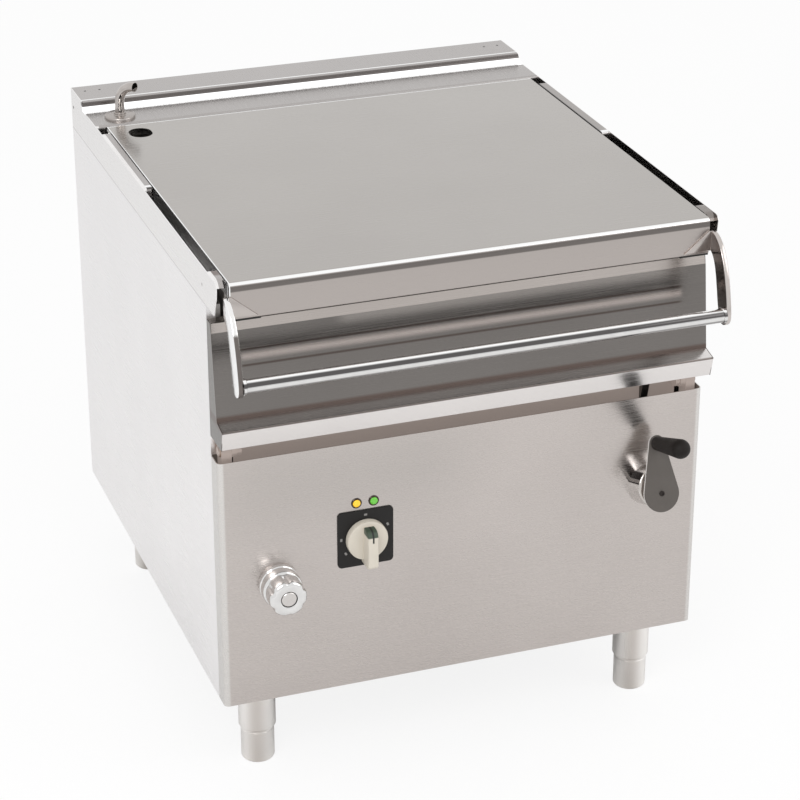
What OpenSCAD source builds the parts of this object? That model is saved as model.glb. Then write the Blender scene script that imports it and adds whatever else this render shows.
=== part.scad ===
// Tilting bratt pan, free standing, with a hand crank and a hinged lid.
// X runs to the right, Y to the back and Z up. The control panel's face is at Y = 0 while the
// pieces are drawn, and the whole is then moved so that the origin is on the floor, at the
// centre of the overall box.

/* [Cabinet] */
// Overall width
width = 800; // [760:10:900]
// Depth from the control panel to the back
depth = 870; // [840:10:950]
// Height of the rear upstand above the floor
height = 886; // [866:2:936]
// Height of the cabinet floor above the ground
leg_h = 146; // [140:2:180]
// Height of the control panel
panel_h = 424; // [410:2:430]
// How far the control panel wraps round the sides
panel_wrap = 32; // [26:1:40]
// Radius of the control panel's upright corners
panel_corner = 8; // [6:1:14]
// Thickness of the outer sheet
sheet = 1.5; // [1:0.1:2]
// Width of the frame's square tube
tube_w = 20; // [16:1:22]
// Wall of the frame's square tube
tube_wall = 2; // [1.5:0.5:3]

/* [Worktop] */
// Height of the side rails
rail_h = 57; // [50:1:62]
// Width of the rails' top flange
rail_top_w = 16; // [10:0.5:16]
// How far the rails run past the control panel
rail_nose = 25; // [20:1:27]
// Height of the rear upstand above the worktop
upstand_h = 14; // [10:1:20]
// Depth of the upstand's flat top
upstand_d = 74; // [60:1:80]
// Depth of the slope in front of the upstand
slope_d = 29; // [24:1:34]
// Depth of the flat ledge behind the lid
ledge_d = 70; // [60:1:76]
// Front end of the rails' rear flange
flange_rear_from = 385; // [360:5:400]
// Rear end of the rails' rear flange
flange_rear_to = 655; // [640:5:660]
// Rear end of the rails' front flange
flange_front_to = 25; // [15:1:40]
// Radius of the hole for joining a neighbouring unit
join_hole_r = 2.8; // [2:0.2:4]

/* [Legs] */
// Radius of the leg sleeve
sleeve_r = 30; // [28:0.5:32]
// Length of the leg sleeve
sleeve_l = 86; // [80:1:95]
// Radius of the adjustable foot
foot_r = 27; // [24:0.5:27.5]
// Distance of the legs from the sides
leg_inset_x = 72; // [60:1:80]
// Distance of the front legs from the control panel
leg_front = 72; // [60:1:90]
// Distance of the rear legs from the back
leg_rear = 121; // [100:1:135]
// Travel of the adjustable foot
foot_travel = 40; // [20:5:40]

/* [Pan] */
// Gap between the cabinet's side and the pan's jacket
pan_side = 28.5; // [26.5:0.5:58.5]
// Gap between the pan's jacket and the lid's rear edge
pan_back = 8.5; // [2:0.5:58.5]
// Height of the pan's rim below the worktop
rim_drop = 28; // [26:1:34]
// Height of the jacket's underside above the tilting axis
pan_clear = 38; // [36:1:78]
// Height of the heater space under the base plate
heater_room = 22; // [18:1:26]
// Thickness of the pan's walls
pan_wall = 2; // [1.5:0.5:3]
// Thickness of the heated base plate
base_t = 12; // [8:1:14]
// Radius of the cavity's upright corners
pan_corner = 40; // [20:5:60]
// Thickness of the insulation round the pan
insul_t = 18; // [12:1:19]
// Distance of the tilting axis behind the control panel
axis_y = 20; // [18:0.5:22]
// Height of the tilting axis above the control panel's edge
axis_up = 12; // [10:0.5:14]
// Radius of the pivot pins
pivot_r = 7; // [5:0.5:8]

/* [Front casing] */
// Height of the drip strip's lower edge above the control panel
drip_gap = 34; // [30:1:38]
// Height of the drip strip
drip_h = 33; // [28:1:36]
// How far the drip strip stands out from the control panel
drip_out = 33; // [28:1:38]
// How far the drip strip leans back at its foot
drip_lean = 8; // [4:1:12]
// Width of the drip ledge
drip_ledge = 27; // [22:1:30]
// Rise of the drip ledge
drip_rise = 6; // [3:1:10]
// Gap between the casing's top and the lid's front flange
front_gap = 20; // [18:1:26]
// How far the casing's front leans back
front_lean = 17; // [10:1:20]
// Height of the casing's top band
band_h = 16; // [12:1:16]
// How far the top band leans back
band_lean = 4; // [2:1:5]

/* [Lid] */
// Gap between the lid and the outside of the unit
lid_inset = 18; // [17:0.5:20]
// How far the lid overhangs the control panel
lid_over = 31; // [29:0.5:33]
// Gap between the lid and the rear ledge
lid_gap = 9; // [8:0.5:12]
// Radius of the lid's front edge
lid_edge_r = 7; // [5:0.5:9]
// Depth of the lid's side flanges
lid_side_h = 24; // [18:1:26]
// Radius of the water hole
water_hole_r = 19; // [14:0.5:20]
// Length of the water hole, front to back
water_hole_l = 46; // [42:1:50]
// Distance of the water hole from the lid's left edge
water_hole_x = 46; // [42:1:60]
// Distance of the water hole from the lid's rear edge
water_hole_y = 45; // [42:1:60]
// Distance of the hinge axis from the lid's rear edge
hinge_in = 8; // [7:0.5:12]
// Depth of the hinge axis below the worktop
hinge_drop = 10; // [9:0.5:12]
// Radius of the lid's hinge pins
hinge_r = 4; // [3:0.5:5]

/* [Handle] */
// Radius of the handle bar
bar_r = 11; // [9:0.5:12]
// Distance of the bar in front of the control panel
bar_out = 92; // [88:1:96]
// Height of the bar below the worktop
bar_drop = 136; // [130:1:138]
// Thickness of the handle's arms
arm_t = 8; // [6:0.5:9]
// Width of the handle's arms
arm_w = 28; // [24:1:30]

/* [Tilting drive] */
// Distance of the crank from the right side of the cabinet
crank_in = 89; // [85:1:95]
// Depth of the crank's hole in the panel below the tilting axis
crank_drop = 177; // [172:1:182]
// Upward tilt of the crank's shaft in degrees
shaft_tilt = 19; // [15:1:20]
// Module of the toothed sector and the worm
gear_m = 4; // [4:0.5:4]
// Teeth that a full wheel of the sector would have
gear_n = 60; // [58:1:62]
// Pitch radius of the worm
worm_r = 16; // [15:0.5:18]
// Length of the worm's thread
worm_l = 34; // [30:1:36]
// Thickness of the sector plate
sector_t = 12; // [8:1:14]
// Largest tilt of the pan in degrees
tilt_max = 70; // [60:1:70]
// Distance of the lever's front from the panel, along the shaft
lever_out = 58; // [54:1:60]
// Thickness of the lever's plate
lever_t = 5; // [4:0.5:8]
// Length of the crank between its axis and the grip's axis
lever_l = 81; // [76:1:84]
// Radius of the lever's big end
lever_big_r = 30; // [26:1:32]
// Radius of the lever's small end
lever_small_r = 13; // [12:0.5:15]
// Length of the grip from the lever to the centre of its round end
grip_l = 88; // [76:1:96]
// Radius of the grip at its root
grip_root_r = 11; // [10:0.5:13]
// Radius of the grip at its round end
grip_end_r = 15.5; // [14:0.5:17]
// Radius of the chrome boss at the panel
boss_r = 33.5; // [30:0.5:35]
// Length of the boss along the shaft
boss_l = 46; // [36:1:48]
// Distance of the boss's middle above the shaft
boss_up = 9.5; // [0:0.5:12]

/* [Controls] */
// Distance of the selector from the left side of the cabinet
dial_in = 233; // [220:1:250]
// Height of the selector above the cabinet floor
dial_z = 260; // [240:1:280]
// Width of the selector's plate
dial_w = 91; // [80:1:96]
// Height of the selector's plate
dial_h = 96; // [85:1:98]
// Radius of the selector's knob
knob_r = 34.5; // [30:0.5:36]
// Depth of the selector's knob
knob_d = 40; // [34:1:44]
// Radius of the indicator lamps
lamp_r = 7; // [6:0.5:8]
// Distance between the indicator lamps
lamp_pitch = 28; // [24:1:34]
// Distance of the water tap from the left side of the cabinet
tap_in = 92; // [85:1:100]
// Height of the water tap above the cabinet floor
tap_z = 204; // [190:1:220]
// Radius of the tap's bonnet
bonnet_r = 32; // [28:0.5:34]
// Radius of the tap's knob
tap_knob_r = 30; // [26:0.5:32]
// Distance of the tap knob's face from the panel
tap_out = 54; // [50:1:60]

/* [Water and power] */
// Distance of the spout from the lid's left edge
spout_in = 34; // [30:1:40]
// Distance of the spout behind the lid
spout_back = 45; // [40:1:50]
// Radius of the spout's tube
spout_r = 8; // [6:0.5:9]
// Radius of the spout's base disc
spout_disc_r = 26; // [22:0.5:28]
// Height at which the spout's tube begins to bend
spout_rise = 24; // [20:1:34]
// Radius of the spout's bend
spout_bend_r = 34; // [26:1:36]
// Turn of the spout to the right in degrees
spout_turn = 38; // [0:1:45]
// Distance of the end screws from the side panels' foot and from the rails
screw_gap = 60; // [40:5:80]
// Height of the middle screws above the side panels' foot
screw_mid = 330; // [200:10:360]
// Outer radius of the water inlet's thread
inlet_r = 10.5; // [8:0.5:13]
// Length of the water inlet behind the back
inlet_l = 22; // [16:1:26]
// Radius of the hole through the cable gland
gland_hole_r = 8; // [6:0.5:10]
// Radius of the water pipes
pipe_r = 6; // [5:0.5:7]

/* [Fits] */
// Gap between a turning piece and its bearing
run_gap = 0.06; // [0.03:0.01:0.1]
// Gap between pieces that only come close
near_gap = 0.3; // [0.2:0.05:0.5]

/* [Hidden] */
$fn = 64;

half_w = width / 2;
worktop_z = height - upstand_h;
rail_z = worktop_z - rail_h;
panel_z = leg_h + panel_h;
axis_z = panel_z + axis_up;
crank_z = axis_z - crank_drop;

// Overall box, from the end of the crank's grip to the end of the water inlet
grip_end_y = lever_l * sin(shaft_tilt) - (lever_out + grip_l) * cos(shaft_tilt);
front_reach = grip_end_y - grip_end_r;
back_reach = depth + inlet_l;
middle_y = (front_reach + back_reach) / 2;

// Rear upstand and ledge
upstand_y = depth - upstand_d;
slope_y = upstand_y - slope_d;
ledge_y = slope_y - ledge_d;

// Front casing, from the drip strip's foot to its top edge
drip_z = panel_z + drip_gap;
casing_top = rail_z - front_gap;
casing_front = [
    [-drip_out + drip_lean, drip_z],
    [-drip_out, drip_z + drip_h],
    [-drip_out + drip_ledge, drip_z + drip_h + drip_rise],
    [-drip_out + drip_ledge + front_lean, casing_top - band_h],
    [-drip_out + drip_ledge + front_lean + band_lean, casing_top],
];
casing_back = panel_wrap - 1;

// Pan
rim_z = worktop_z - rim_drop;
jacket_z = axis_z + pan_clear;
base_z = jacket_z + heater_room;
pan_floor = base_z + base_t;
jacket_gap = pan_wall + insul_t;
jacket_half = half_w - pan_side;
pan_in_w = 2 * (jacket_half - sheet - jacket_gap);
pan_front = panel_wrap + insul_t - 2;
jacket_front = pan_front - jacket_gap + 5;
jacket_rear = ledge_y - lid_gap - pan_back;
pan_rear = jacket_rear - sheet - jacket_gap;
pan_in_d = pan_rear - pan_front;
heater_r = 4.2;
terminal_t = 1.8;
heater_z = base_z - heater_r - terminal_t - near_gap;

// Lid
lid_half = half_w - lid_inset;
lid_rear = ledge_y - lid_gap;
hinge_y = lid_rear - hinge_in;
hinge_z = worktop_z - hinge_drop;
ear_t = 4;
ear_x = jacket_half - sheet - ear_t;
bar_z = worktop_z - bar_drop;
arm_in = lid_half + 2;
frame_front = panel_wrap + sheet + near_gap;
frame_rear = depth - sheet - near_gap;

// Tilting drive
gear_r = gear_m * gear_n / 2;
pitch = PI * gear_m;
worm_y = axis_y + gear_r + worm_r;
thread_add = gear_m * 0.9;
thread_ded = gear_m * 1.15;
flank = 20;
backlash = 1.6;
shaft_r = 8;
grip_pin_r = 4;
spout_x = -lid_half + spout_in;
spout_y = lid_rear + spout_back;
crank_x = half_w - crank_in;
dial_x = half_w - dial_in;
tap_x = half_w - tap_in;
tap_port_y = 36;
tap_port_h = 26;
bonnet_l = 24;
tap_stem_r = 5;
plate_t = 2.4;
spindle_r = 3;
bush_wall = 2.5;
worm_journal_r = 6;
bracket_z = axis_z + worm_l / 2 + 3;
bracket_t = 8;
mid_rail_z = bracket_z - tube_w;
box_half = 32;
shaft_in = worm_y / cos(shaft_tilt);
gear_z = crank_z - worm_y * tan(shaft_tilt);
post_in = half_w - sheet - tube_w;
block_x = half_w - sheet - 24;
block_t = 16;
block_r = 11.6;
plate_w = 8;
plate_x = block_x - near_gap - plate_w;

// Places a child in the row's frame
module place() {
    translate([0, -middle_y, 0]) children();
}

// Runs a drawing in the YZ plane (y, z) along X, from x = from to x = to
module along_x(from, to) {
    translate([from, 0, 0]) rotate([90, 0, 90]) linear_extrude(to - from) children();
}

// Runs a drawing in the XZ plane (x, z) along Y, from y = from to y = to
module along_y(from, to) {
    translate([0, to, 0]) rotate([90, 0, 0]) linear_extrude(to - from) children();
}

// Rod from one point along X, Y or Z
module rod_x(x0, x1, y, z, r) {
    translate([x0, y, z]) rotate([0, 90, 0]) cylinder(r = r, h = x1 - x0);
}

module rod_y(x, y0, y1, z, r) {
    translate([x, y0, z]) rotate([-90, 0, 0]) cylinder(r = r, h = y1 - y0);
}

// Both mirror images of a piece on the right
module both_sides() {
    children();
    mirror([1, 0, 0]) children();
}

// Box between two corners
module block(a, b) {
    translate(a) cube(b - a);
}

// Square tube with open ends along X, Y or Z
module tube_x(a, len) {
    translate(a) difference() {
        cube([len, tube_w, tube_w]);
        translate([-1, tube_wall, tube_wall]) cube([len + 2, tube_w - 2 * tube_wall, tube_w - 2 * tube_wall]);
    }
}

module tube_y(a, len) {
    translate(a) difference() {
        cube([tube_w, len, tube_w]);
        translate([tube_wall, -1, tube_wall]) cube([tube_w - 2 * tube_wall, len + 2, tube_w - 2 * tube_wall]);
    }
}

module tube_z(a, len) {
    translate(a) difference() {
        cube([tube_w, tube_w, len]);
        translate([tube_wall, tube_wall, -1]) cube([tube_w - 2 * tube_wall, tube_w - 2 * tube_wall, len + 2]);
    }
}

// Outline of a bent sheet of thickness t whose middle follows the points
module fold(points, t) {
    last = len(points) - 1;
    polygon(concat([for (i = [0 : last]) fold_point(points, i, t / 2)],
        [for (i = [last : -1 : 0]) fold_point(points, i, -t / 2)]));
}

// Point beside the line at its point i. The two ends run on by half the sheet's thickness
function fold_point(points, i, side) =
    let (last = len(points) - 1,
        before = unit(i == 0 ? points[1] - points[0] : points[i] - points[i - 1]),
        after = unit(i == last ? points[i] - points[i - 1] : points[i + 1] - points[i]),
        way = unit(before + after),
        run_on = i == 0 ? -abs(side) : i == last ? abs(side) : 0)
    points[i] + run_on * way + side / (way * after) * [-way[1], way[0]];

function unit(v) = v / norm(v);

// Points of an arc about c, from angle a to angle b
function arc(c, r, a, b, n = 6) =
    [for (i = [0 : n]) c + r * [cos(a + (b - a) * i / n), sin(a + (b - a) * i / n)]];

// Rectangle with round corners
module round_rect(w, d, r) {
    translate([-w / 2 + r, -d / 2]) square([w - 2 * r, d]);
    translate([-w / 2, -d / 2 + r]) square([w, d - 2 * r]);
    for (sx = [-1, 1], sy = [-1, 1]) translate([sx * (w / 2 - r), sy * (d / 2 - r)]) circle(r = r);
}

// Frame of square tube: a floor rectangle, four posts and two mid rails
module base_frame() {
    front = frame_front;
    rear = frame_rear;
    run = rear - front;
    foot_z = leg_h + sheet;
    color("dimgray") place() {
        both_sides() {
            tube_y([post_in - near_gap, front, foot_z], run);
            tube_z([post_in - near_gap, front, foot_z + tube_w], rail_z - foot_z - tube_w);
            tube_z([post_in - near_gap, rear - tube_w, foot_z + tube_w], rail_z - foot_z - tube_w);
            tube_y([post_in - near_gap, front + tube_w, mid_rail_z], run - 2 * tube_w);
        }
        for (y = [front, rear - tube_w])
            tube_x([-post_in + near_gap, y, foot_z], 2 * (post_in - near_gap));
        tube_x([-post_in + near_gap, rear - tube_w, mid_rail_z], 2 * (post_in - near_gap));
    }
}

function leg_places() =
    [for (y = [leg_front, depth - leg_rear], sx = [-1, 1]) [sx * (half_w - leg_inset_x), y]];

// Sleeves welded under the cabinet, one for each leg
module leg_sleeves() {
    bore = foot_r + run_gap;
    pad = sleeve_r + 8;
    edge = half_w - 14 - near_gap;
    color("silver") place() for (p = leg_places()) difference() {
        union() {
            translate([p[0], p[1], leg_h - sleeve_l]) rotate_extrude() polygon([[0, 2], [sleeve_r - 2, 0],
                [sleeve_r, 2], [sleeve_r, sleeve_l], [0, sleeve_l]]);
            // mounting plate under the frame's side tube
            block([p[0] < 0 ? -edge : p[0] - pad, p[1] - pad, leg_h],
                [p[0] < 0 ? p[0] + pad : edge, p[1] + pad, leg_h + sheet]);
        }
        translate([p[0], p[1], leg_h - sleeve_l - 1]) cylinder(r = bore, h = sleeve_l - 7);
    }
}

// Adjustable foot: a turned plug that screws down out of its sleeve
module foot(i) {
    p = leg_places()[i];
    // length that stays in the sleeve with the foot screwed out
    held = 38;
    top = leg_h - sleeve_l + min(sleeve_l - 8, foot_travel + held) - near_gap;
    color("gainsboro") place() translate([p[0], p[1], 0])
        rotate_extrude() polygon([[0, 0], [foot_r - 4, 0], [foot_r - 1.2, 1.2], [foot_r, 4],
            [foot_r, top - 2], [foot_r - 2, top], [0, top]]);
}

module foot_front_left() { foot(0); }
module foot_front_right() { foot(1); }
module foot_rear_left() { foot(2); }
module foot_rear_right() { foot(3); }

// Side panel: a sheet with its edges folded in
module side_panel() {
    flange = 14;
    block([half_w - sheet, panel_wrap, leg_h], [half_w, depth, rail_z]);
    block([half_w - flange, panel_wrap, panel_z + 2], [half_w, panel_wrap + sheet, rail_z]);
    block([half_w - flange, depth - sheet, leg_h], [half_w, depth, rail_z]);
    block([half_w - flange, panel_wrap, leg_h], [half_w, depth, leg_h + sheet - near_gap]);
}

module side_panel_left() { color("whitesmoke") place() mirror([1, 0, 0]) side_panel(); }
module side_panel_right() { color("whitesmoke") place() side_panel(); }

// Plan of the control panel: a front with two round corners and two side returns
module panel_plan(inset) {
    r = panel_corner - inset;
    translate([-half_w + panel_corner, inset]) square([width - 2 * panel_corner, panel_wrap]);
    translate([-half_w + inset, panel_corner]) square([width - 2 * inset, panel_wrap - panel_corner + inset]);
    for (sx = [-1, 1]) translate([sx * (half_w - panel_corner), panel_corner]) circle(r = r);
}

// Control panel, with holes for the crank, the selector, the lamps and the tap
module control_panel() {
    color("lightgray") place() {
        difference() {
            translate([0, 0, leg_h]) linear_extrude(panel_h) difference() {
                intersection() {
                    panel_plan(0);
                    translate([-half_w, 0]) square([width, panel_wrap - near_gap / 2]);
                }
                panel_plan(sheet);
            }
            rod_y(crank_x, -1, sheet + 1, crank_z, shaft_r + 2);
            rod_y(-dial_x, -1, sheet + 1, leg_h + dial_z, 5);
            for (s = [-1, 1]) rod_y(-dial_x + s * lamp_pitch / 2, -1, sheet + 1, lamp_z(), lamp_r - 2);
            rod_y(-tap_x, -1, sheet + 1, leg_h + tap_z, 11);
        }
        block([-half_w + panel_corner, 0, leg_h],
            [half_w - panel_corner, panel_wrap - 2, leg_h + sheet - near_gap]);
        // the top edge is stiffened by a short hem inside
        block([-half_w + panel_corner, sheet, panel_z - 14],
            [half_w - panel_corner, 2 * sheet, panel_z - 2]);
    }
}

function lamp_z() = leg_h + dial_z + dial_h / 2 + 13;

// Rear panel with two rows of ventilation slots
module rear_panel() {
    slot_h = 8;
    slot_w = 60;
    color("silver") place() difference() {
        block([-half_w + 14 + near_gap, depth - sheet, leg_h + sheet],
            [half_w - 14 - near_gap, depth, rail_z]);
        for (i = [-3 : 3], k = [0, 1, 2])
            translate([i * 90, depth - 5, rail_z - 110 + k * 24])
                rotate([-90, 0, 0]) linear_extrude(10) round_rect(slot_w, slot_h, slot_h / 2 - 0.01);
        rod_y(inlet_x(), depth - 5, depth + 1, inlet_z(), inlet_r + near_gap);
        rod_y(gland_x(), depth - 5, depth + 1, gland_z(), gland_r() + near_gap);
    }
}

function inlet_x() = -tap_x;
function inlet_z() = leg_h + 90;
function gland_x() = dial_x;
function gland_z() = leg_h + 90;
function gland_r() = gland_hole_r + 4;

// Floor of the cabinet
module bottom_panel() {
    color("silver") place() difference() {
        block([-post_in + near_gap, frame_front + tube_w, leg_h + sheet],
            [post_in - near_gap, frame_rear - tube_w, leg_h + 2 * sheet]);
        for (x = [-240 : 80 : 240], y = [0.3, 0.7])
            translate([x, depth * y, leg_h]) linear_extrude(10) round_rect(12, 90, 5.9);
    }
}

// Outline of the rails' outer face, in the YZ plane
function rail_outline() = concat(
    [[-8, rail_z], [-rail_nose + 2, rail_z + 32]],
    arc([-rail_nose + 10, worktop_z - 10], 10, 180, 90, 6),
    [[slope_y, worktop_z], [slope_y + slope_d * 0.6, worktop_z + upstand_h * 0.32],
     [upstand_y - 7, height - 3], [upstand_y, height], [depth, height], [depth, rail_z]]);

// Middle line of the ledge, the slope and the upstand
function ledge_line() = concat(
    [[ledge_y + sheet / 2, worktop_z - 22]],
    arc([ledge_y + 5, worktop_z - 5], 5 - sheet / 2, 180, 90, 4),
    arc([slope_y, worktop_z - sheet / 2 + 40], 40, -90, -64, 4),
    [[upstand_y - 9, worktop_z + upstand_h * 0.42]],
    arc([upstand_y - 3, height - 5 - sheet / 2], 5, 180, 90, 4),
    [[depth - sheet / 2, height - sheet / 2], [depth - sheet / 2, rail_z + sheet / 2]]);

// Rear of the worktop: the ledge, the slope and the upstand, folded from one sheet
module worktop() {
    dimple_in = 19;
    dimple_pitch = 25.4;
    color("silver") place() difference() {
        along_x(-half_w + sheet, half_w - sheet) fold(ledge_line(), sheet);
        both_sides() for (x = [dimple_in, dimple_in + dimple_pitch])
            translate([half_w - x, depth - 26, height - sheet - 1]) cylinder(r = 2, h = sheet + 2);
    }
}

// Side rails: an outer cheek with two top flanges, a rounded nose and a lower fold
module side_rails() {
    flange_in = half_w - rail_top_w;
    tab = 12;
    nose_r = 18;
    color("silver") place() both_sides() {
        difference() {
            along_x(half_w - sheet, half_w) polygon(rail_outline());
            rod_x(half_w - 3, half_w + 1, depth - 14, worktop_z - 17, join_hole_r);
            rod_x(half_w - 3, half_w + 1, 51, worktop_z - 30, join_hole_r);
        }
        along_x(flange_in, half_w - sheet / 2) {
            fold(concat([[flange_rear_from, worktop_z - tab]],
                arc([flange_rear_from + 4, worktop_z - 4 - sheet / 2], 4, 180, 90, 4),
                [[flange_rear_to, worktop_z - sheet / 2]]), sheet);
            fold(concat([[flange_front_to, worktop_z - sheet / 2 - 0.2]],
                arc([-2, worktop_z - nose_r - sheet / 2 - 0.2], nose_r, 90, 150, 5)), sheet);
        }
        // lower fold, which closes the rail over the side panel
        block([half_w - 16, panel_wrap + sheet, rail_z + near_gap],
            [half_w - sheet / 2, depth - sheet, rail_z + sheet + near_gap]);
    }
}

// Bearing blocks for the pan's pivots, fixed to the front posts
module bearing_blocks() {
    front = panel_wrap + sheet;
    foot_drop = 74;
    color("slategray") place() both_sides() difference() {
        union() {
            along_x(block_x, block_x + block_t) {
                translate([axis_y, axis_z]) circle(r = block_r);
                translate([axis_y - block_r, axis_z - foot_drop]) square([2 * block_r, foot_drop]);
            }
            block([block_x, axis_y - block_r, axis_z - foot_drop],
                [block_x + block_t, front + near_gap, axis_z - foot_drop + 44]);
        }
        rod_x(block_x - 1, block_x + block_t + 1, axis_y, axis_z, pivot_r + bush_t());
        for (z = [12, 30]) rod_y(block_x + block_t / 2, axis_y, front + 1, axis_z - foot_drop + z, 3.2);
    }
}

function bush_t() = 2;

// Plain bushes pressed into the bearing blocks, and the drive's two shaft bushes
module bearing_bushes() {
    color("darkgoldenrod") place() both_sides() difference() {
        rod_x(block_x, block_x + block_t, axis_y, axis_z, pivot_r + bush_t());
        rod_x(block_x - 1, block_x + block_t + 1, axis_y, axis_z, pivot_r + run_gap);
    }
}

// Plan of the cavity, grown by a margin
module cavity_plan(grow) {
    translate([0, (pan_front + pan_rear) / 2])
        round_rect(pan_in_w + 2 * grow, pan_in_d + 2 * grow, pan_corner + grow);
}

// Inner pan with its thick base, its rim and the pouring lip at the front
module pan_vessel() {
    lip_half = lid_half - 12;
    lip_reach = lid_over - 8;
    lip_rise = 12;
    color("silver") place() {
        difference() {
            translate([0, 0, base_z]) linear_extrude(rim_z - base_z) cavity_plan(pan_wall);
            translate([0, 0, pan_floor]) linear_extrude(rim_z) cavity_plan(0);
        }
        // rim flange
        translate([0, 0, rim_z - sheet]) linear_extrude(sheet) difference() {
            translate([-jacket_half, jacket_front]) square([2 * jacket_half, jacket_rear - jacket_front]);
            cavity_plan(pan_wall / 2);
        }
        // upturned bead at the sides and the back of the rim
        both_sides() block([jacket_half - sheet, jacket_front, rim_z - sheet],
            [jacket_half, hinge_y - 24, rim_z + 6]);
        // pouring lip, which rises and narrows towards the front
        along_x(-lip_half, lip_half) fold([[jacket_front + sheet, rim_z - sheet / 2], [6, rim_z - sheet / 2],
            [-lip_reach + 6, rim_z + lip_rise - 6], [-lip_reach + 1, rim_z + lip_rise - 8]], sheet);
        both_sides() along_x(lip_half - sheet - 0.2, lip_half - 0.2)
            polygon([[jacket_front + sheet + 0.2, rim_z - sheet / 2], [6, rim_z - sheet / 2],
                [-12, rim_z + 4.5], [2, rim_z + lip_rise + 2], [jacket_front + sheet + 0.2, rim_z + 8]]);
    }
}

// Outer jacket of the pan: four walls and a tray under the heaters
module pan_jacket() {
    slot_half = sector_t / 2 + near_gap;
    color("gray") place() {
        difference() {
            block([-jacket_half, jacket_front, jacket_z], [jacket_half, jacket_rear, rim_z - sheet]);
            block([-jacket_half + sheet, jacket_front + sheet, jacket_z + sheet],
                [jacket_half - sheet, jacket_rear - sheet, rim_z]);
        }
        // apron that hangs behind the control panel
        difference() {
            block([-plate_x + near_gap, jacket_front - sheet, axis_z - 34],
                [plate_x - near_gap, jacket_front, jacket_z + 30]);
            // slot for the toothed sector
            block([crank_x - slot_half, jacket_front - 2 * sheet, axis_z - 35],
                [crank_x + slot_half, jacket_front + sheet, jacket_z + near_gap]);
        }
    }
}

// Front casing: band, face, drip ledge and drip strip in one fold, closed by two cheeks
module pan_casing() {
    inner = half_w - sheet;
    color("gray") place() {
        difference() {
            along_x(-inner - near_gap, inner + near_gap) translate([sheet / 2, 0])
                fold(concat([[casing_front[0][0], drip_z + sheet / 2]],
                    [for (i = [1 : 3]) casing_front[i] + [0, -sheet / 2]],
                    [casing_front[4] + [0, -sheet / 2],
                        [jacket_front - sheet, casing_top - sheet / 2]]), sheet);
            // corners cut back clear of the side panels
            both_sides() block([half_w - 15, casing_back, casing_top - 4],
                [half_w + 1, jacket_front + 4, casing_top + 4]);
        }
        both_sides() along_x(inner, half_w)
            polygon(concat(casing_front, [[casing_back, casing_top], [casing_back, drip_z]]));
    }
}

// Mineral wool round the pan
module pan_insulation() {
    gap = 1;
    inset = sheet + near_gap;
    color("khaki") place() translate([0, 0, base_z]) linear_extrude(rim_z - inset - base_z) difference() {
        translate([-jacket_half + inset, jacket_front + inset])
            square([2 * (jacket_half - inset), jacket_rear - jacket_front - 2 * inset]);
        cavity_plan(pan_wall + gap / 2);
    }
}

// Three hairpin heaters under the base plate, with their terminals
module heating_elements() {
    bend = 40;
    reach = pan_in_w / 2 - 60;
    pitch = 180;
    middle = (pan_front + pan_rear) / 2;
    color("darkslategray") place() for (i = [-1, 0, 1]) translate([0, middle + i * pitch, heater_z]) {
        for (s = [-1, 1]) rod_x(-reach, reach, s * bend, 0, heater_r);
        translate([reach, 0, 0]) rotate([0, 0, -90])
            rotate_extrude(angle = 180) translate([bend, 0]) circle(r = heater_r);
        for (s = [-1, 1]) rod_x(-reach - 22, -reach, s * bend, 0, heater_r + terminal_t);
    }
}

// Plates that hang from the pan's jacket and carry the pivot pins
module pivot_plates() {
    color("slategray") place() both_sides() difference() {
        along_x(plate_x, plate_x + plate_w) {
            translate([axis_y, axis_z]) circle(r = block_r);
            polygon([[axis_y - block_r, axis_z], [axis_y + block_r, axis_z], [jacket_front + 60, jacket_z],
                [axis_y - block_r, jacket_z]]);
        }
        rod_x(plate_x - 1, plate_x + plate_w + 1, axis_y, axis_z, pivot_r);
    }
}

// Pivot pins, fixed in the pan's plates and running in the bushes
module pivot_pins() {
    color("gainsboro") place() both_sides() {
        rod_x(plate_x - 5, block_x + block_t + 3, axis_y, axis_z, pivot_r);
        rod_x(plate_x - 8, plate_x - near_gap, axis_y, axis_z, pivot_r + 3);
    }
}

// Toothed sector under the pan, centred on the tilting axis
module tilt_sector() {
    lead = atan(pitch / (2 * PI * worm_r));
    step = 360 / gear_n;
    root_r = gear_r - thread_ded;
    tip_r = gear_r + thread_add;
    first = -floor((tilt_max + 6) / step);
    last = 1;
    from = (first - 0.6) * step;
    to = (last + 0.6) * step;
    half_pitch = (pitch - backlash) / 4;
    top_w = half_pitch - thread_add * tan(flank);
    foot_w = half_pitch + thread_ded * tan(flank);
    color("darkgray") place() {
        difference() {
            translate([crank_x, axis_y, axis_z]) rotate([90, 0, 90])
                translate([0, 0, -sector_t / 2]) union() {
                    rotate([0, 0, from]) rotate_extrude(angle = to - from) square([root_r, sector_t]);
                    translate([0, 0, 0.5]) linear_extrude(sector_t - 1) polygon([[6, 0], [root_r * 0.8, 0],
                        [root_r * 0.8, jacket_z - axis_z],
                        [jacket_front - axis_y + 2, jacket_z - axis_z], [6, 18]]);
                }
            for (a = [-70, -45, -20]) translate([crank_x, axis_y, axis_z])
                rotate([a, 0, 0]) rod_x(-sector_t, sector_t, root_r * 0.7, 0, 15);
        }
        for (i = [first : last]) translate([crank_x, axis_y, axis_z]) rotate([i * step, 0, 0])
            translate([0, gear_r, 0]) rotate([0, -lead, 0]) translate([0, -gear_r, 0])
                along_x(-sector_t / 2 + 0.8, sector_t / 2 - 0.8)
                    polygon([[root_r - 0.8, -foot_w], [tip_r, -top_w],
                        [tip_r, top_w], [root_r - 0.8, foot_w]]);
    }
}

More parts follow.
